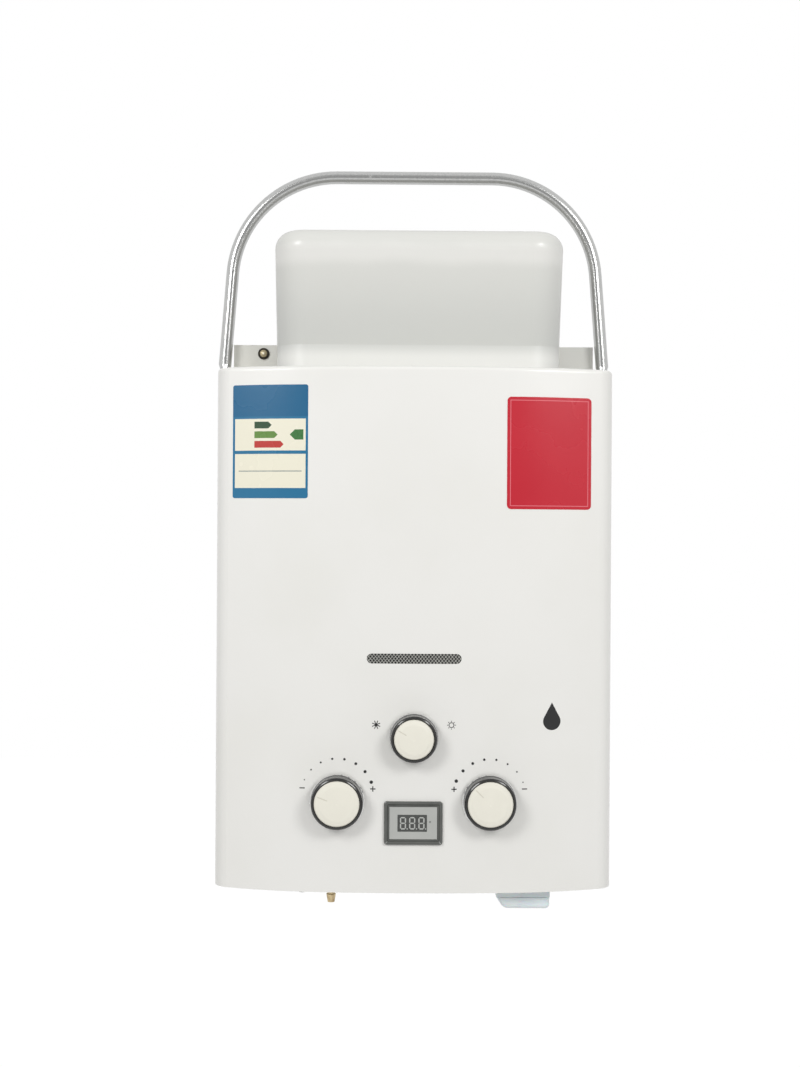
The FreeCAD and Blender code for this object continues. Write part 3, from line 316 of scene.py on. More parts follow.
def knob_chrome():
    f = Finish("knob_chrome")
    haze = f.noise(4 * mm, 3.0)
    return f.coat(f.blend(haze, rgb(232, 232, 230), rgb(212, 212, 212)), 0.06 + haze * 0.08, 1.0)


def knob_cap(name, centre, reach, angle):
    """Satin cream cap with a shallow pointer groove cut along one radius, the groove also darkened in colour
    as painted shade.
    """
    f = Finish(name)
    turn = math.radians(angle)
    across = f.x - centre.x
    up = f.z - centre.z
    along = across * math.cos(turn) + up * math.sin(turn)
    off = abs(across * -math.sin(turn) + up * math.cos(turn))
    half_groove = 0.45 * mm
    line = (1 - f.step(off, half_groove * 0.5, half_groove)) * f.step(along, reach * 0.42, reach * 0.48)
    groove = line * (1 - f.step(along, reach * 0.88, reach * 0.94))
    spread = (across * across + up * up).root()
    rings = f.noise(0.9 * mm, 1.0, f.node("ShaderNodeCombineXYZ", None, {0: spread * 3.0}).outputs[0])
    clouds = f.noise(11 * mm, 3.0)
    plain = f.blend(clouds, rgb(238, 235, 222), rgb(232, 229, 216))
    # Painted shade: the cream is darkened along the pointer groove, on top of the groove's real relief.
    base = f.blend(groove * 0.55, plain, rgb(196, 190, 172))
    height = (1 - groove) + rings * 0.04 + f.noise(0.6 * mm) * 0.03
    return f.coat(base, 0.34 + clouds * 0.08, normal=f.relief(height, 0.12 * mm), coat_weight=0.2)


def bezel_grey():
    f = Finish("bezel_grey")
    clouds = f.noise(9 * mm, 3.0)
    base = f.blend(clouds, rgb(66, 68, 64), rgb(92, 94, 90))
    return f.coat(base, 0.2 + clouds * 0.1, normal=f.relief(f.noise(0.8 * mm), 0.01 * mm), coat_weight=0.4)


def display_glass():
    f = Finish("display_glass")
    haze = f.noise(16 * mm, 3.0)
    base = f.blend(haze, rgb(184, 185, 181), rgb(170, 172, 168))
    return f.coat(base, 0.16 + haze * 0.1, coat_weight=0.4)


def digit_window():
    f = Finish("digit_window")
    haze = f.noise(8 * mm, 3.0)
    return f.coat(f.blend(haze, rgb(72, 74, 71), rgb(60, 62, 60)), 0.2 + haze * 0.1, coat_weight=0.2)


def lit_segment():
    f = Finish("lit_segment")
    haze = f.noise(4 * mm, 2.0)
    return f.coat(f.blend(haze, rgb(192, 194, 190), rgb(176, 179, 175)), 0.3)


def copper():
    """Copper with heat tint that grows towards the burner."""
    f = Finish("copper")
    clouds = f.noise(18 * mm, 4.0)
    heat = (f.step(-1 * f.z, 0.05, 0.2) * 0.5 + f.step(clouds, 0.45, 0.8) * 0.5).clamped()
    base = f.blend(heat, rgb(214, 142, 108), rgb(140, 84, 66))
    return f.coat(base, 0.24 + clouds * 0.18, 0.95, f.relief(f.noise(1.5 * mm), 0.02 * mm))


def stainless():
    f = Finish("stainless")
    brushed = f.noise(1.4 * mm, 3.0, f.stretched((0.08, 1.0, 1.0)))
    straw = f.step(f.noise(30 * mm, 3.0), 0.55, 0.8)
    base = f.blend(straw, f.blend(brushed, rgb(198, 198, 196), rgb(172, 173, 172)), rgb(186, 170, 140))
    return f.coat(base, 0.26 + brushed * 0.14, 0.95, f.relief(brushed, 0.01 * mm))


def cast_alloy():
    f = Finish("cast_alloy")
    grain = f.noise(1.1 * mm, 4.0, roughness=0.7)
    base = f.blend(f.step(grain, 0.4, 0.65), rgb(172, 173, 172), rgb(144, 146, 146))
    return f.coat(base, 0.48 + grain * 0.2, 0.8, f.relief(grain, 0.12 * mm))


def mica():
    f = Finish("mica")
    flakes = f.speckle(6 * mm)
    return f.coat(f.blend(flakes, rgb(206, 190, 150), rgb(168, 146, 104)), 0.2 + flakes * 0.2,
                  coat_weight=0.3, alpha=0.55)


def ceramic():
    f = Finish("ceramic_white")
    clouds = f.noise(5 * mm, 3.0)
    base = f.blend(clouds, rgb(236, 234, 226), rgb(222, 218, 206))
    return f.coat(base, 0.22 + clouds * 0.1, coat_weight=0.4)


def battery_plastic():
    """Milky blue-white moulded plastic."""
    f = Finish("battery_blue")
    clouds = f.noise(22 * mm, 3.0)
    base = f.blend(f.step(clouds, 0.3, 0.75), rgb(244, 250, 252), rgb(230, 242, 247))
    return f.coat(base, 0.3 + clouds * 0.1, normal=f.relief(f.noise(1.0 * mm), 0.015 * mm),
                  subsurface_weight=0.15, subsurface_scale=4 * mm, coat_weight=0.15)


def cell_jacket():
    """Dry cell: a dark sleeve with a copper-coloured band and bare steel ends."""
    f = Finish("cell_jacket")
    low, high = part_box("battery_cells")
    share = (f.z - low.z) / (high.z - low.z)
    sleeve = f.blend(share > 0.68, rgb(34, 36, 40), rgb(186, 128, 74))
    ends = (share > 0.93).either(share < 0.03)
    return f.coat(f.blend(ends, sleeve, rgb(200, 200, 198)), 0.28 + f.noise(9 * mm) * 0.1, ends * 0.95)


def sticker_sheet(f, colour, paper):
    """The slightly uneven, lacquered surface that both stickers share."""
    uneven = f.relief(f.noise(1.6 * mm), 0.01 * mm)
    return f.coat(colour, 0.24 + paper * 0.06, normal=uneven, coat_weight=0.15)


def rating_print(low, high):
    """Blue sticker with two cream panels and three plain arrow bars, no wording."""
    f = Finish("rating_print")
    wide, tall = high.x - low.x, high.z - low.z

    def area(left, right, bottom, top):
        return f.panel(low.x + wide * left, low.x + wide * right, low.z + tall * bottom, low.z + tall * top)

    def bar(left, right, middle_share, half_share):
        centre = low.z + tall * middle_share
        drop = abs(f.z - centre)
        inside = (f.x > low.x + wide * left) * (drop < tall * half_share)
        return inside * (f.x + drop < low.x + wide * right)

    paper = f.noise(30 * mm, 3.0)
    colour = f.blend(paper, rgb(24, 106, 147), rgb(34, 116, 156))
    colour = f.blend(area(0.0, 1.0, 0.72, 1.0), colour, rgb(16, 96, 138))
    colour = f.blend(area(0.03, 0.97, 0.42, 0.70), colour, rgb(238, 234, 214))
    colour = f.blend(area(0.03, 0.97, 0.09, 0.39), colour, rgb(238, 234, 214))
    colour = f.blend(area(0.08, 0.92, 0.235, 0.243), colour, rgb(128, 140, 140))
    for right, centre, tone in ((0.52, 0.645, rgb(38, 72, 44)), (0.60, 0.56, rgb(98, 138, 62)),
                                (0.68, 0.475, rgb(188, 52, 46))):
        colour = f.blend(bar(0.29, right, centre, 0.03), colour, tone)
    arrow_drop = abs(f.z - (low.z + tall * 0.56))
    arrow = (f.x - arrow_drop > low.x + wide * 0.76) * (f.x < low.x + wide * 0.94)
    colour = f.blend(arrow * (arrow_drop < tall * 0.045), colour, rgb(58, 116, 58))
    return sticker_sheet(f, colour, paper)


def plain_print(name, tone, rim_tone, low, high):
    """Coloured sticker with a thin paler line inside its edge."""
    f = Finish(name)
    inset, line = 2.2 * mm, 0.5 * mm
    outer = f.panel(low.x + inset, high.x - inset, low.z + inset, high.z - inset)
    inner = f.panel(low.x + inset + line, high.x - inset - line, low.z + inset + line, high.z - inset - line)
    paper = f.noise(30 * mm, 3.0)
    field = f.blend(paper, tone, tuple(min(1.0, part * 1.06) for part in tone))
    return sticker_sheet(f, f.blend(outer - inner, field, rim_tone), paper)


def black_ink():
    f = Finish("black_ink")
    return f.coat(f.blend(f.noise(3 * mm, 3.0), rgb(18, 18, 18), rgb(30, 30, 30)), 0.4)


# Pieces

def placed(name, data):
    """A new object in the scene that holds a mesh, a lamp or a camera."""
    thing = bpy.data.objects.new(name, data)
    bpy.context.scene.collection.objects.link(thing)
    return thing


def meshed(name, build):
    """The finished mesh of a build."""
    mesh = bpy.data.meshes.new(name)
    build.to_mesh(mesh)
    build.free()
    return mesh


def skin(build, a, b):
    """Joins two closed rings of equally many points with four-cornered faces."""
    for i in range(len(a)):
        build.faces.new((a[i - 1], a[i], b[i], b[i - 1]))


def keep(name, mesh, finish, body="heater", replaced=()):
    """Makes a finished piece of a mesh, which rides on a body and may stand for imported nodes."""
    piece = placed(name, mesh)
    mesh.materials.clear()
    mesh.materials.append(finish)
    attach(piece, body)
    if replaced:
        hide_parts(*replaced)


def baked(source):
    """The plain mesh of an object with all its modifiers, and the object taken away."""
    graph = bpy.context.evaluated_depsgraph_get()
    mesh = bpy.data.meshes.new_from_object(source.evaluated_get(graph), depsgraph=graph)
    bpy.data.objects.remove(source)
    return mesh


def rounded(x0, x1, z0, z1, radius, steps=6):
    """Corner points of a rectangle with round corners, anticlockwise seen from the front."""
    points = []
    corners = ((x1 - radius, z1 - radius, 0), (x0 + radius, z1 - radius, 90),
               (x0 + radius, z0 + radius, 180), (x1 - radius, z0 + radius, 270))
    for x, z, start in corners:
        for i in range(steps + 1):
            turn = math.radians(start + 90 * i / steps)
            points.append((x + radius * math.cos(turn), z + radius * math.sin(turn)))
    return points


def ring(x, z, inner, outer, steps=24):
    """Four-cornered patches that make up a flat ring."""
    patches = []
    for i in range(steps):
        a, b = (math.radians(360 * (i + k) / steps) for k in (0, 1))
        corners = ((inner, a), (outer, a), (outer, b), (inner, b))
        patches.append([(x + r * math.cos(t), z + r * math.sin(t)) for r, t in corners])
    return patches


def spoke(x, z, inner, outer, half, angle):
    """A straight bar that points away from a centre at one angle."""
    turn = math.radians(angle)
    along, side = (math.cos(turn), math.sin(turn)), (-math.sin(turn), math.cos(turn))
    corners = ((inner, -half), (outer, -half), (outer, half), (inner, half))
    return [(x + along[0] * r + side[0] * s, z + along[1] * r + side[1] * s) for r, s in corners]


def laid(name, outlines, thickness, finish, depth, lift=0.0):
    """Flat outlines in X and Z laid on a face whose Y is given by depth, as a thin closed sheet."""
    build = bmesh.new()
    for outline in outlines:
        build.faces.new([build.verts.new((x, 0, z)) for x, z in outline])
    bmesh.ops.remove_doubles(build, verts=build.verts, dist=0.005 * mm)
    slice_width = 5 * mm
    low = min(v.co.x for v in build.verts)
    high = max(v.co.x for v in build.verts)
    for i in range(1, int((high - low) / slice_width) + 1):
        geometry = build.verts[:] + build.edges[:] + build.faces[:]
        cut = (low + i * slice_width, 0, 0)
        bmesh.ops.bisect_plane(build, geom=geometry, plane_co=cut, plane_no=(1, 0, 0))
    for vert in build.verts:
        vert.co.y = depth(vert.co.x) - lift - thickness
    source = placed(name + "_flat", meshed(name, build))
    solid = source.modifiers.new("thickness", "SOLIDIFY")
    solid.thickness = thickness
    solid.offset = -1
    keep(name, baked(source), finish)


def stickers():
    """The two coloured sheets on the cover, without wording."""
    sheet = 0.15 * mm
    left = Vector((-132.3 * mm, 0, -115.4 * mm)), Vector((-77.2 * mm, 0, -33.6 * mm))
    right = Vector((65.9 * mm, 0, -122.3 * mm)), Vector((127.8 * mm, 0, -41.5 * mm))
    outline = rounded(left[0].x, left[1].x, left[0].z, left[1].z, 1.6 * mm)
    laid("rating_sticker", [outline], sheet, rating_print(*left), crown)
    outline = rounded(right[0].x, right[1].x, right[0].z, right[1].z, 3.0 * mm)
    red = plain_print("red_sticker_print", rgb(192, 24, 44), rgb(226, 120, 130), *right)
    laid("red_sticker", [outline], sheet, red, crown)


def drop_outline(x, z, radius, tip):
    """A water drop: a round bottom and a pointed top."""
    points = [(x + radius * math.cos(math.radians(a)), z + radius * math.sin(math.radians(a)))
              for a in range(-210, 31, 10)]
    return points + [(x, z + tip)]


def front_marks(ink):
    """Plain printed signs by the knobs, and a water drop at the lower right."""
    def printed(name, outlines):
        laid(name, outlines, 0.06 * mm, ink, crown)

    above_axis = 8.6 * mm
    sign_z, sign_offset, reach = selector.z + above_axis, 27 * mm, 3.1 * mm
    cool_x, warm_x = selector.x - sign_offset, selector.x + sign_offset
    turns = [45 * i for i in range(8)]
    frost = [spoke(cool_x, sign_z, 0.9 * mm, reach, 0.3 * mm, turn + 22.5) for turn in turns]
    core = 1.1 * mm
    frost.append(rounded(cool_x - core, cool_x + core, sign_z - core, sign_z + core, 1.09 * mm))
    printed("cool_sign", frost)
    sun = ring(warm_x, sign_z, 1.5 * mm, 2.0 * mm)
    sun += [spoke(warm_x, sign_z, 2.4 * mm, reach, 0.28 * mm, turn) for turn in turns]
    printed("warm_sign", sun)

    long_half, short_half, mark_offset = 1.9 * mm, 0.38 * mm, 25.4 * mm
    for name, knob, plus_side in (("gas", gas_knob, 1), ("water", water_knob, -1)):
        low_x = knob.x - plus_side * mark_offset
        high_x = knob.x + plus_side * mark_offset
        mark_z = knob.z + above_axis
        printed(name + "_less_mark", [rounded(low_x - long_half, low_x + long_half,
                                              mark_z - short_half, mark_z + short_half, 0.1 * mm, 1)])
        printed(name + "_more_mark", [spoke(high_x, mark_z, 0, long_half, short_half, 90 * i)
                                      for i in range(4)])
    drop_x, drop_z, drop_radius, drop_tip = 99.6 * mm, -275 * mm, 6.4 * mm, 13.5 * mm
    printed("water_drop_mark", [drop_outline(drop_x, drop_z, drop_radius, drop_tip)])


def six_cornered(middle_point, half_length, half_bar, upright):
    """A bar of a digit with a point at both ends, lying or upright."""
    x, z = middle_point
    shoulder = half_length - half_bar
    corners = ((-half_length, 0), (-shoulder, -half_bar), (shoulder, -half_bar),
               (half_length, 0), (shoulder, half_bar), (-shoulder, half_bar))
    if upright:
        return [(x - across, z + along) for along, across in corners]
    return [(x + along, z + across) for along, across in corners]


def digits():
    """A dark window with three seven-part digits and a degree ring on the display's face."""
    def face(x):
        return screen_face

    film, print_film = 0.1 * mm, 0.05 * mm
    left, right = -11.3 * mm, 9.8 * mm
    low, high = display.z - 6.1 * mm, display.z + 6.0 * mm
    outline = rounded(left, right, low, high, 0.3 * mm, 2)
    laid("digit_window", [outline], film, digit_window(), face)

    segments = []
    half_wide, half_tall, half_bar, gap = 1.75 * mm, 2.0 * mm, 0.42 * mm, 0.2 * mm
    step, point_offset = 6.6 * mm, 1.3 * mm
    middle_z = (low + high) / 2
    for i in range(3):
        x = (left + right) / 2 + (i - 1) * step
        for level in (-2, 0, 2):
            z = middle_z + level * half_tall
            segments.append(six_cornered((x, z), half_wide - gap, half_bar, False))
        for side in (-1, 1):
            for level in (-1, 1):
                place = x + side * half_wide, middle_z + level * half_tall
                segments.append(six_cornered(place, half_tall - gap, half_bar, True))
        point_x, point_z = x + half_wide + point_offset, middle_z - 2 * half_tall
        segments.append(rounded(point_x - half_bar, point_x + half_bar,
                                point_z - half_bar, point_z + half_bar, 0.3 * mm, 2))
    laid("digit_segments", segments, print_film, lit_segment(), face, lift=film)
    degree = ring(12.0 * mm, display.z + 0.9 * mm, 0.35 * mm, 0.65 * mm, steps=12)
    laid("degree_mark", degree, print_film, digit_window(), face)


# Geometry node trees

class Pattern(Tree):
    """A geometry tree with named inputs, turned into a plain mesh once its inputs are set."""

    def __init__(self, name, **inputs):
        group = bpy.data.node_groups.new(name, "GeometryNodeTree")
        super().__init__(group)
        group.interface.new_socket("Geometry", in_out="OUTPUT", socket_type="NodeSocketGeometry")
        self.identifiers = {}
        self.values = inputs
        kinds = {int: "NodeSocketInt", float: "NodeSocketFloat"}
        for label, value in inputs.items():
            socket = group.interface.new_socket(label, in_out="INPUT", socket_type=kinds[type(value)])
            self.identifiers[label] = socket.identifier
        source = self.node("NodeGroupInput")
        self.given = {label: Number(self, source.outputs[label]) for label in inputs}

    def vector(self, x=0.0, y=0.0, z=0.0):
        return self.node("ShaderNodeCombineXYZ", None, {0: x, 1: y, 2: z}).outputs[0]

    def index(self):
        return self.number("GeometryNodeInputIndex")

    def rod(self, vertices, radius, depth):
        values = {"Vertices": vertices, "Radius": radius, "Depth": depth}
        return self.node("GeometryNodeMeshCylinder", None, values).outputs[0]

    def copies(self, count, place, form, **values):
        """One copy of a form at each of a number of places."""
        spots = self.node("GeometryNodePoints", None, {"Count": count, "Position": place}).outputs[0]
        values.update({"Points": spots, "Instance": form})
        return self.node("GeometryNodeInstanceOnPoints", None, values).outputs[0]

    def realized(self, geometry):
        return self.node("GeometryNodeRealizeInstances", None, {"Geometry": geometry}).outputs[0]

    def made(self, name, geometry, finish):
        """The plain mesh that the tree gives with its inputs set."""
        values = {"Geometry": self.realized(geometry), "Material": finish}
        painted = self.node("GeometryNodeSetMaterial", None, values).outputs[0]
        self.node("NodeGroupOutput", None, {0: painted})
        source = placed(name + "_pattern", bpy.data.meshes.new(name))
        modifier = source.modifiers.new("pattern", "NODES")
        modifier.node_group = self.nodes
        for label, value in self.values.items():
            modifier[self.identifiers[label]] = value
        return baked(source)


def dial_dots(name, knob, ink, growth):
    """Eight printed dots round a knob that grow from one end of its dial to the other."""
    first, last = (0.45 * mm, 1.25 * mm)[::growth]
    p = Pattern(name, Count=8, Radius=26 * mm, Start=math.radians(156.4), End=math.radians(21.1),
                First=first, Last=last, X=knob.x, Z=knob.z + 4.1 * mm, Front=front_face, Crown=crown_radius)
    g = p.given
    share = p.index() / (g["Count"] - 1)
    turn = g["Start"] + (g["End"] - g["Start"]) * share
    x = g["X"] + g["Radius"] * turn.apply("COSINE")
    z = g["Z"] + g["Radius"] * turn.apply("SINE")
    sunk, thick = 0.02 * mm, 0.16 * mm
    y = g["Front"] + x * x / (g["Crown"] * 2) + sunk
    size = g["First"] + (g["Last"] - g["First"]) * share
    dots = p.copies(g["Count"], p.vector(x, y, z), p.rod(20, 1.0, 1.0),
                    Rotation=p.vector(math.pi / 2, 0.0, 0.0), Scale=p.vector(size, size, thick))
    keep(name, p.made(name, dots, ink), ink)


def sight_gauze(finish):
    """Staggered wires of the gauze behind the sight slot, bent to the crown of the cover."""
    before_sheet, overlap, lean = 0.25 * mm, 1.1, math.radians(40)
    p = Pattern("sight_wires", Pitch=2.4 * mm, Wire=0.21 * mm, Long=70 * mm, Tall=9 * mm,
                Depth=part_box("sight_mesh")[0].y - before_sheet, Z=sight.z, Crown=crown_radius)
    g = p.given
    join = p.node("GeometryNodeJoinGeometry")
    for side in (-1, 1):
        count = (g["Long"] / g["Pitch"]).apply("FLOOR")
        x = (p.index() + 0.5) * g["Pitch"] - g["Long"] / 2
        wires = p.copies(count, p.vector(x, 0.0, g["Z"]), p.rod(6, g["Wire"], g["Tall"] * overlap),
                         Rotation=p.vector(0.0, side * lean, 0.0))
        p.nodes.links.new(wires, join.inputs[0])
    real = p.realized(join.outputs[0])
    place = p.node("GeometryNodeInputPosition").outputs[0]
    x = Number(p, p.node("ShaderNodeSeparateXYZ", None, {0: place}).outputs[0])
    offset = p.vector(0.0, g["Depth"] + x * x / (g["Crown"] * 2), 0.0)
    bent = p.node("GeometryNodeSetPosition", None, {"Geometry": real, "Offset": offset}).outputs[0]
    keep("sight_wires", p.made("sight_wires", bent, finish), finish)


def turned_about(build, axis, rows, wall):
    """Skins a wall round a vertical axis from its radius at each height and angle, and gives its rings."""
    def point(z, turn):
        radius = wall(z, turn)
        return build.verts.new((axis.x + radius * math.cos(turn), axis.y + radius * math.sin(turn), z))

    around = 48
    turns = [2 * math.pi * i / around for i in range(around)]
    rings = [[point(z, turn) for turn in turns] for z in rows]
    for a, b in zip(rings, rings[1:]):
        skin(build, a, b)
    return rings[0], rings[-1]


def tube(build, axis, rows, wall, bore):
    """A closed tube with any outer wall and a round bore."""
    outer = turned_about(build, axis, rows, wall)
    inner = turned_about(build, axis, (rows[0], rows[-1]), lambda z, turn: bore)
    for a, b in zip(outer, inner):
        skin(build, a, b)


def threaded_nipple(name, node, finish):
    """A pipe nipple with a helical half inch thread, a hexagon and a bore."""
    low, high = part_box(node)
    axis = (low + high) / 2
    pitch, depth, crest, bore = 1.814 * mm, 1.1 * mm, 10.45 * mm, 7.5 * mm
    flat, widest, chamfer = 12 * mm, 13.4 * mm, 0.5 * mm
    hex_low, rows_a_pitch = high.z - 12 * mm, 6

    def thread(z, turn):
        fade = min(1.0, (z - low.z) / pitch, (hex_low - z) / pitch)
        phase = (z / pitch - turn / (2 * math.pi)) % 1.0
        return crest - depth * abs(2 * phase - 1) * fade - depth * (1 - fade)

    def hexagon(z, turn):
        corner = flat / math.cos(turn % math.radians(60) - math.radians(30))
        return min(corner, widest) - (chamfer if z in (hex_low, high.z) else 0.0)

    rows = int((hex_low - low.z) / pitch * rows_a_pitch)
    build = bmesh.new()
    tube(build, axis, [low.z + (hex_low - low.z) * i / rows for i in range(rows + 1)], thread, bore)
    tube(build, axis, (hex_low, hex_low + chamfer, high.z - chamfer, high.z), hexagon, bore)
    bmesh.ops.recalc_face_normals(build, faces=build.faces)
    keep(name, meshed(name, build), finish, replaced=(node,))


def display_frame(finish):
    """The display's moulded frame: a rounded lip, a slope inwards and a bead round the window."""
    low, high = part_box("display_bezel")
    behind = high.y - front_face
    corner, least_corner = 2.0 * mm, 0.3 * mm
    # Inset from the frame's edge and depth behind the cover's face, from the edge round to the rear.
    profile = ((0.0, 0.0), (0.0, -1.1 * mm), (0.25 * mm, -1.75 * mm), (0.7 * mm, -2.0 * mm),
               (1.15 * mm, -1.8 * mm), (2.5 * mm, -0.9 * mm), (2.75 * mm, -1.35 * mm),
               (3.15 * mm, -1.5 * mm), (3.6 * mm, -1.35 * mm), (3.8 * mm, -0.8 * mm),
               (3.8 * mm, behind), (2.0 * mm, behind), (2.0 * mm, 0.0))
    build = bmesh.new()
    loops = []
    for inset, depth in profile:
        outline = rounded(low.x + inset, high.x - inset, low.z + inset, high.z - inset,
                          max(corner - inset, least_corner))
        loops.append([build.verts.new((x, front_face + depth, z)) for x, z in outline])
    for a, b in zip(loops, loops[1:] + loops[:1]):
        skin(build, a, b)
    bmesh.ops.recalc_face_normals(build, faces=build.faces)
    keep("display_frame", meshed("display_frame", build), finish,
         replaced=("display_bezel",))


def battery_lid(finish):
    """The battery box's end cap, whose floor rises to the front, with the barrel and arm of its hinge."""
    low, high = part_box("battery_box")
    box_edge, gap, sheet = 3 * mm, 0.15 * mm, 2 * mm
    left, right = low.x + box_edge, high.x - box_edge
    pin = middle("battery_lid_pin")
    top, bottom, front_bottom = low.z - gap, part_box("battery_lid")[0].z, -413.7 * mm
    front, bend, rear = low.y + box_edge, -69 * mm, -26 * mm
    slant = 10 * mm / (low.z - bottom)
    barrel_radius, barrel_inset = 3 * mm, 10.2 * mm
    arm_below_top, arm_overlap = 3.4 * mm, 0.1 * mm
    build = bmesh.new()
    stations = []
    for y, floor in ((front, front_bottom), (bend, bottom), (rear, bottom)):
        corners = ((left, top), (left + (top - floor) * slant, floor), (right, floor), (right, top))
        stations.append([build.verts.new((x, y, z)) for x, z in corners])
    for a, b in zip(stations, stations[1:]):
        for i in range(3):
            build.faces.new((a[i], a[i + 1], b[i + 1], b[i]))
    build.faces.new(stations[0])
    build.faces.new(stations[-1])
    bmesh.ops.recalc_face_normals(build, faces=build.faces)
    source = placed("battery_lid_flat", meshed("battery_lid_shell", build))
    bevel = source.modifiers.new("soft_edges", "BEVEL")
    bevel.width, bevel.segments = 3 * mm, 5
    bevel.limit_method, bevel.angle_limit = "ANGLE", math.radians(25)
    wall = source.modifiers.new("wall", "SOLIDIFY")
    wall.thickness, wall.offset, wall.use_even_offset = sheet, -1, True
    shell = baked(source)

    build = bmesh.new()
    build.from_mesh(shell)
    half_barrel = (right - left) / 2 - barrel_inset
    barrel = Matrix.Translation(pin) @ Matrix.Rotation(math.pi / 2, 4, "Y")
    bmesh.ops.create_cone(build, cap_ends=True, segments=24, radius1=barrel_radius,
                          radius2=barrel_radius, depth=2 * half_barrel, matrix=barrel)
    arm_low = Vector((-half_barrel, rear + arm_overlap, top - arm_below_top))
    arm_high = Vector((half_barrel, pin.y, pin.z))
    size = arm_high - arm_low
    centre = Vector((pin.x, (arm_low.y + arm_high.y) / 2, (arm_low.z + arm_high.z) / 2))
    block = Matrix.Translation(centre) @ Matrix.Diagonal((size.x, size.y, size.z, 1.0))
    bmesh.ops.create_cube(build, size=1.0, matrix=block)
    build.to_mesh(shell)
    build.free()
    for face in shell.polygons:
        face.use_smooth = True
    shell.set_sharp_from_angle(angle=math.radians(28))
    keep("battery_end_cap", shell, finish, "lid", replaced=("battery_lid",))


# Assembly

def dress_nodes(finishes):
    """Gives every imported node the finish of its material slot, or one of its own."""
    own = finishes["own"]
    record_slots = {part["node"]: part["material_slot"] for part in frame["record"]["subparts"]}
    for node, piece in frame["nodes"].items():
        finish = own.get(node) or finishes[record_slots[node]]
        piece.data.materials.clear()
        piece.data.materials.append(finish)


def open_rays(tree):
    """The rays that see the surround as it is, and the glossy ones among them."""
    rays = tree.node("ShaderNodeLightPath").outputs
    glossy = Number(tree, rays["Is Glossy Ray"])
    seen = Number(tree, rays["Is Camera Ray"]).either(glossy)
    return seen.either(Number(tree, rays["Is Transmission Ray"])), glossy


def even_floor():
    """A floor that looks evenly white and returns light as plain pale ground does."""
    floor_z, half = -1.3, 6.0
    glow_strength = 0.86
    build = bmesh.new()
    corners = ((-half, -half), (half, -half), (half, half), (-half, half))
    build.faces.new([build.verts.new((x, y, floor_z)) for x, y in corners])
    floor = placed("floor", meshed("floor", build))
    pale = Finish("floor_pale")
    seen, _ = open_rays(pale)
    matt = pale.node("ShaderNodeBsdfDiffuse", None, {"Color": (0.3, 0.3, 0.3, 1)}).outputs[0]
    wide = pale.node("ShaderNodeBsdfDiffuse", None, {"Color": (0.8, 0.8, 0.8, 1)}).outputs[0]
    glow = pale.node("ShaderNodeEmission", None,
                     {"Color": (1, 1, 1, 1), "Strength": glow_strength}).outputs[0]
    bright = pale.node("ShaderNodeAddShader", None, {0: matt, 1: glow}).outputs[0]
    mixed = pale.node("ShaderNodeMixShader", None, {0: seen, 1: wide, 2: bright}).outputs[0]
    pale.node("ShaderNodeOutputMaterial", None, {"Surface": mixed})
    floor.data.materials.append(pale.material)


def surround():
    """A white surround that lights softly, with a dimmer room on the viewer's side in reflections."""
    ambient, dimming = 0.5, 0.6
    world = bpy.data.worlds.new("surround")
    bpy.context.scene.world = world
    world.use_nodes = True
    world.node_tree.nodes.clear()
    sky = Tree(world.node_tree)
    seen, glossy = open_rays(sky)
    direction = sky.node("ShaderNodeTexCoord").outputs["Generated"]
    towards_room = Number(sky, sky.node("ShaderNodeSeparateXYZ", None, {0: direction}).outputs[1]) * -1
    room = sky.number("ShaderNodeMapRange", {"interpolation_type": "SMOOTHSTEP"},
                      {"Value": towards_room, "From Min": 0.55, "From Max": 0.95})
    strength = ambient + seen * (1 - ambient) - glossy * room * dimming
    glow = sky.node("ShaderNodeBackground", None, {"Color": (1, 1, 1, 1), "Strength": strength})
    sky.node("ShaderNodeOutputWorld", None, {"Surface": glow.outputs[0]})


def lamps():
    """Two soft lamps in front of the heater, to the left and right of the viewer."""
    power, size, beside, before, above = 11.3, 0.6, 0.9, 1.5, 0.6
    target = Vector((0, -0.1, -0.2))
    for name, x in (("lamp_left", -beside), ("lamp_right", beside)):
        data = bpy.data.lights.new(name, "AREA")
        data.energy = power
        data.size = size
        lamp = placed(name, data)
        lamp.location = (x, -before, above)
        lamp.rotation_euler = (target - lamp.location).to_track_quat("-Z", "Y").to_euler()


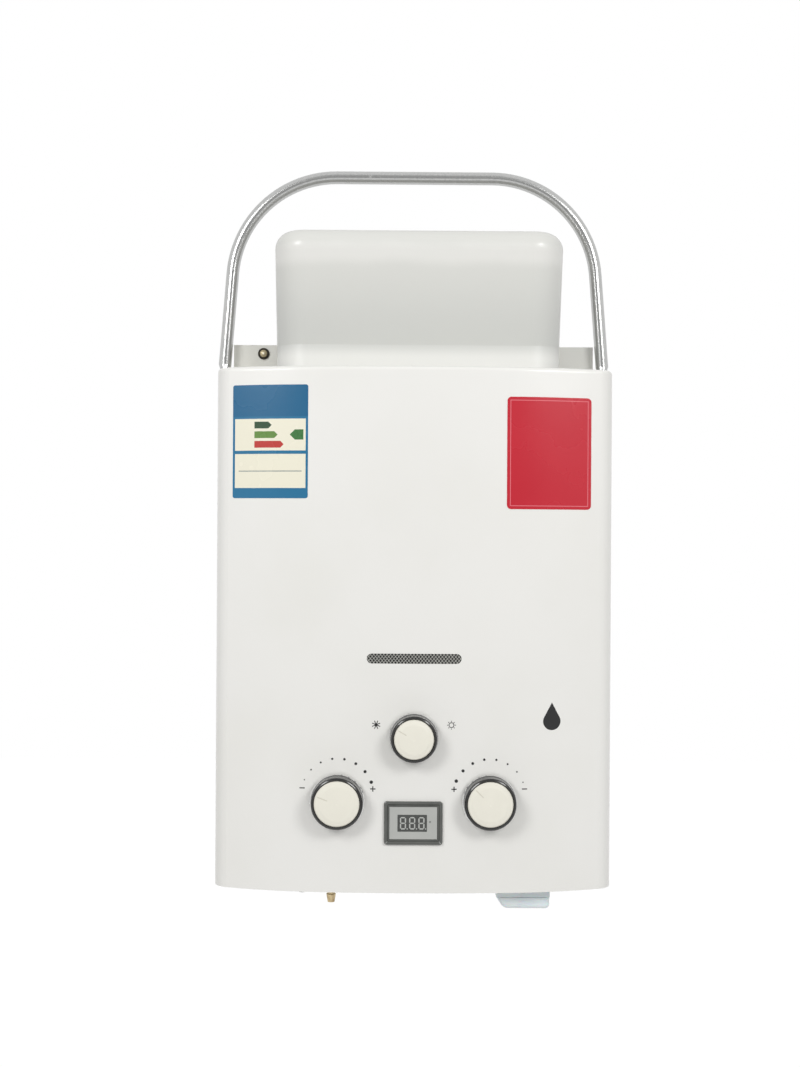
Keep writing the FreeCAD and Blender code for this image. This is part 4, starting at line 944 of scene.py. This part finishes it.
def camera():
    """Nearly square to the front, from the distance and lens that the photograph shows."""
    place = Vector((-17, -1117, -140.3)) * mm
    roll, yaw = math.radians(-0.35), math.radians(-0.36)
    data = bpy.data.cameras.new("camera")
    data.lens = 46.95
    data.sensor_width = 36.0
    eye = placed("camera", data)
    turned = (Matrix.Rotation(yaw, 4, "Z") @ Matrix.Rotation(roll, 4, "Y")
              @ Matrix.Rotation(math.pi / 2, 4, "X"))
    eye.matrix_world = Matrix.Translation(place) @ turned
    bpy.context.scene.camera = eye


def main():
    ink = black_ink()
    gauze = bright_gauze()
    brassy = brass()
    finishes = {
        "cover_enamel": enamel("cover_enamel", rgb(236, 235, 231), rgb(233, 232, 227)),
        "hood_enamel": hood_enamel(),
        "galvanised_sheet": galvanised(),
        "handle_zinc": bright_bar(),
        "zinc_screw": plated_screw(),
        "brass": brassy,
        "dark_gauze": gauze_backing(),
        "knob_black": black_plastic("knob_black", 0.16, 2.0 * mm, 0.25),
        "knob_chrome": knob_chrome(),
        "bezel_grey": bezel_grey(),
        "display_glass": display_glass(),
        "copper": copper(),
        "stainless": stainless(),
        "cast_alloy": cast_alloy(),
        "mica": mica(),
        "rubber_black": black_plastic("rubber_black", 0.55, 0.5 * mm),
        "plastic_black": black_plastic("plastic_black", 0.38, 0.8 * mm),
        "ceramic_white": ceramic(),
        "battery_blue": battery_plastic(),
        "cell_jacket": cell_jacket(),
        "own": {
            "back_plate": enamel("back_plate_enamel", rgb(230, 229, 221), rgb(225, 225, 220)),
            "earth_screw": earth_screw(middle("earth_screw")),
            "gas_knob_cap": knob_cap("gas_cap_cream", gas_knob, 16.1 * mm, 160),
            "water_knob_cap": knob_cap("water_cap_cream", water_knob, 16.1 * mm, 135),
            "selector_cap": knob_cap("selector_cap_cream", selector, 14.1 * mm, 150),
        },
    }
    dress_nodes(finishes)
    stickers()
    front_marks(ink)
    digits()
    dial_dots("gas_dial_dots", gas_knob, ink, 1)
    dial_dots("water_dial_dots", water_knob, ink, -1)
    sight_gauze(gauze)
    display_frame(finishes["bezel_grey"])
    battery_lid(finishes["battery_blue"])
    threaded_nipple("cold_inlet_thread", "cold_inlet_nipple", brassy)
    threaded_nipple("hot_outlet_thread", "hot_outlet_nipple", brassy)
    even_floor()
    surround()
    lamps()
    camera()


main()
bpy.context.scene.view_settings.view_transform = "Standard"
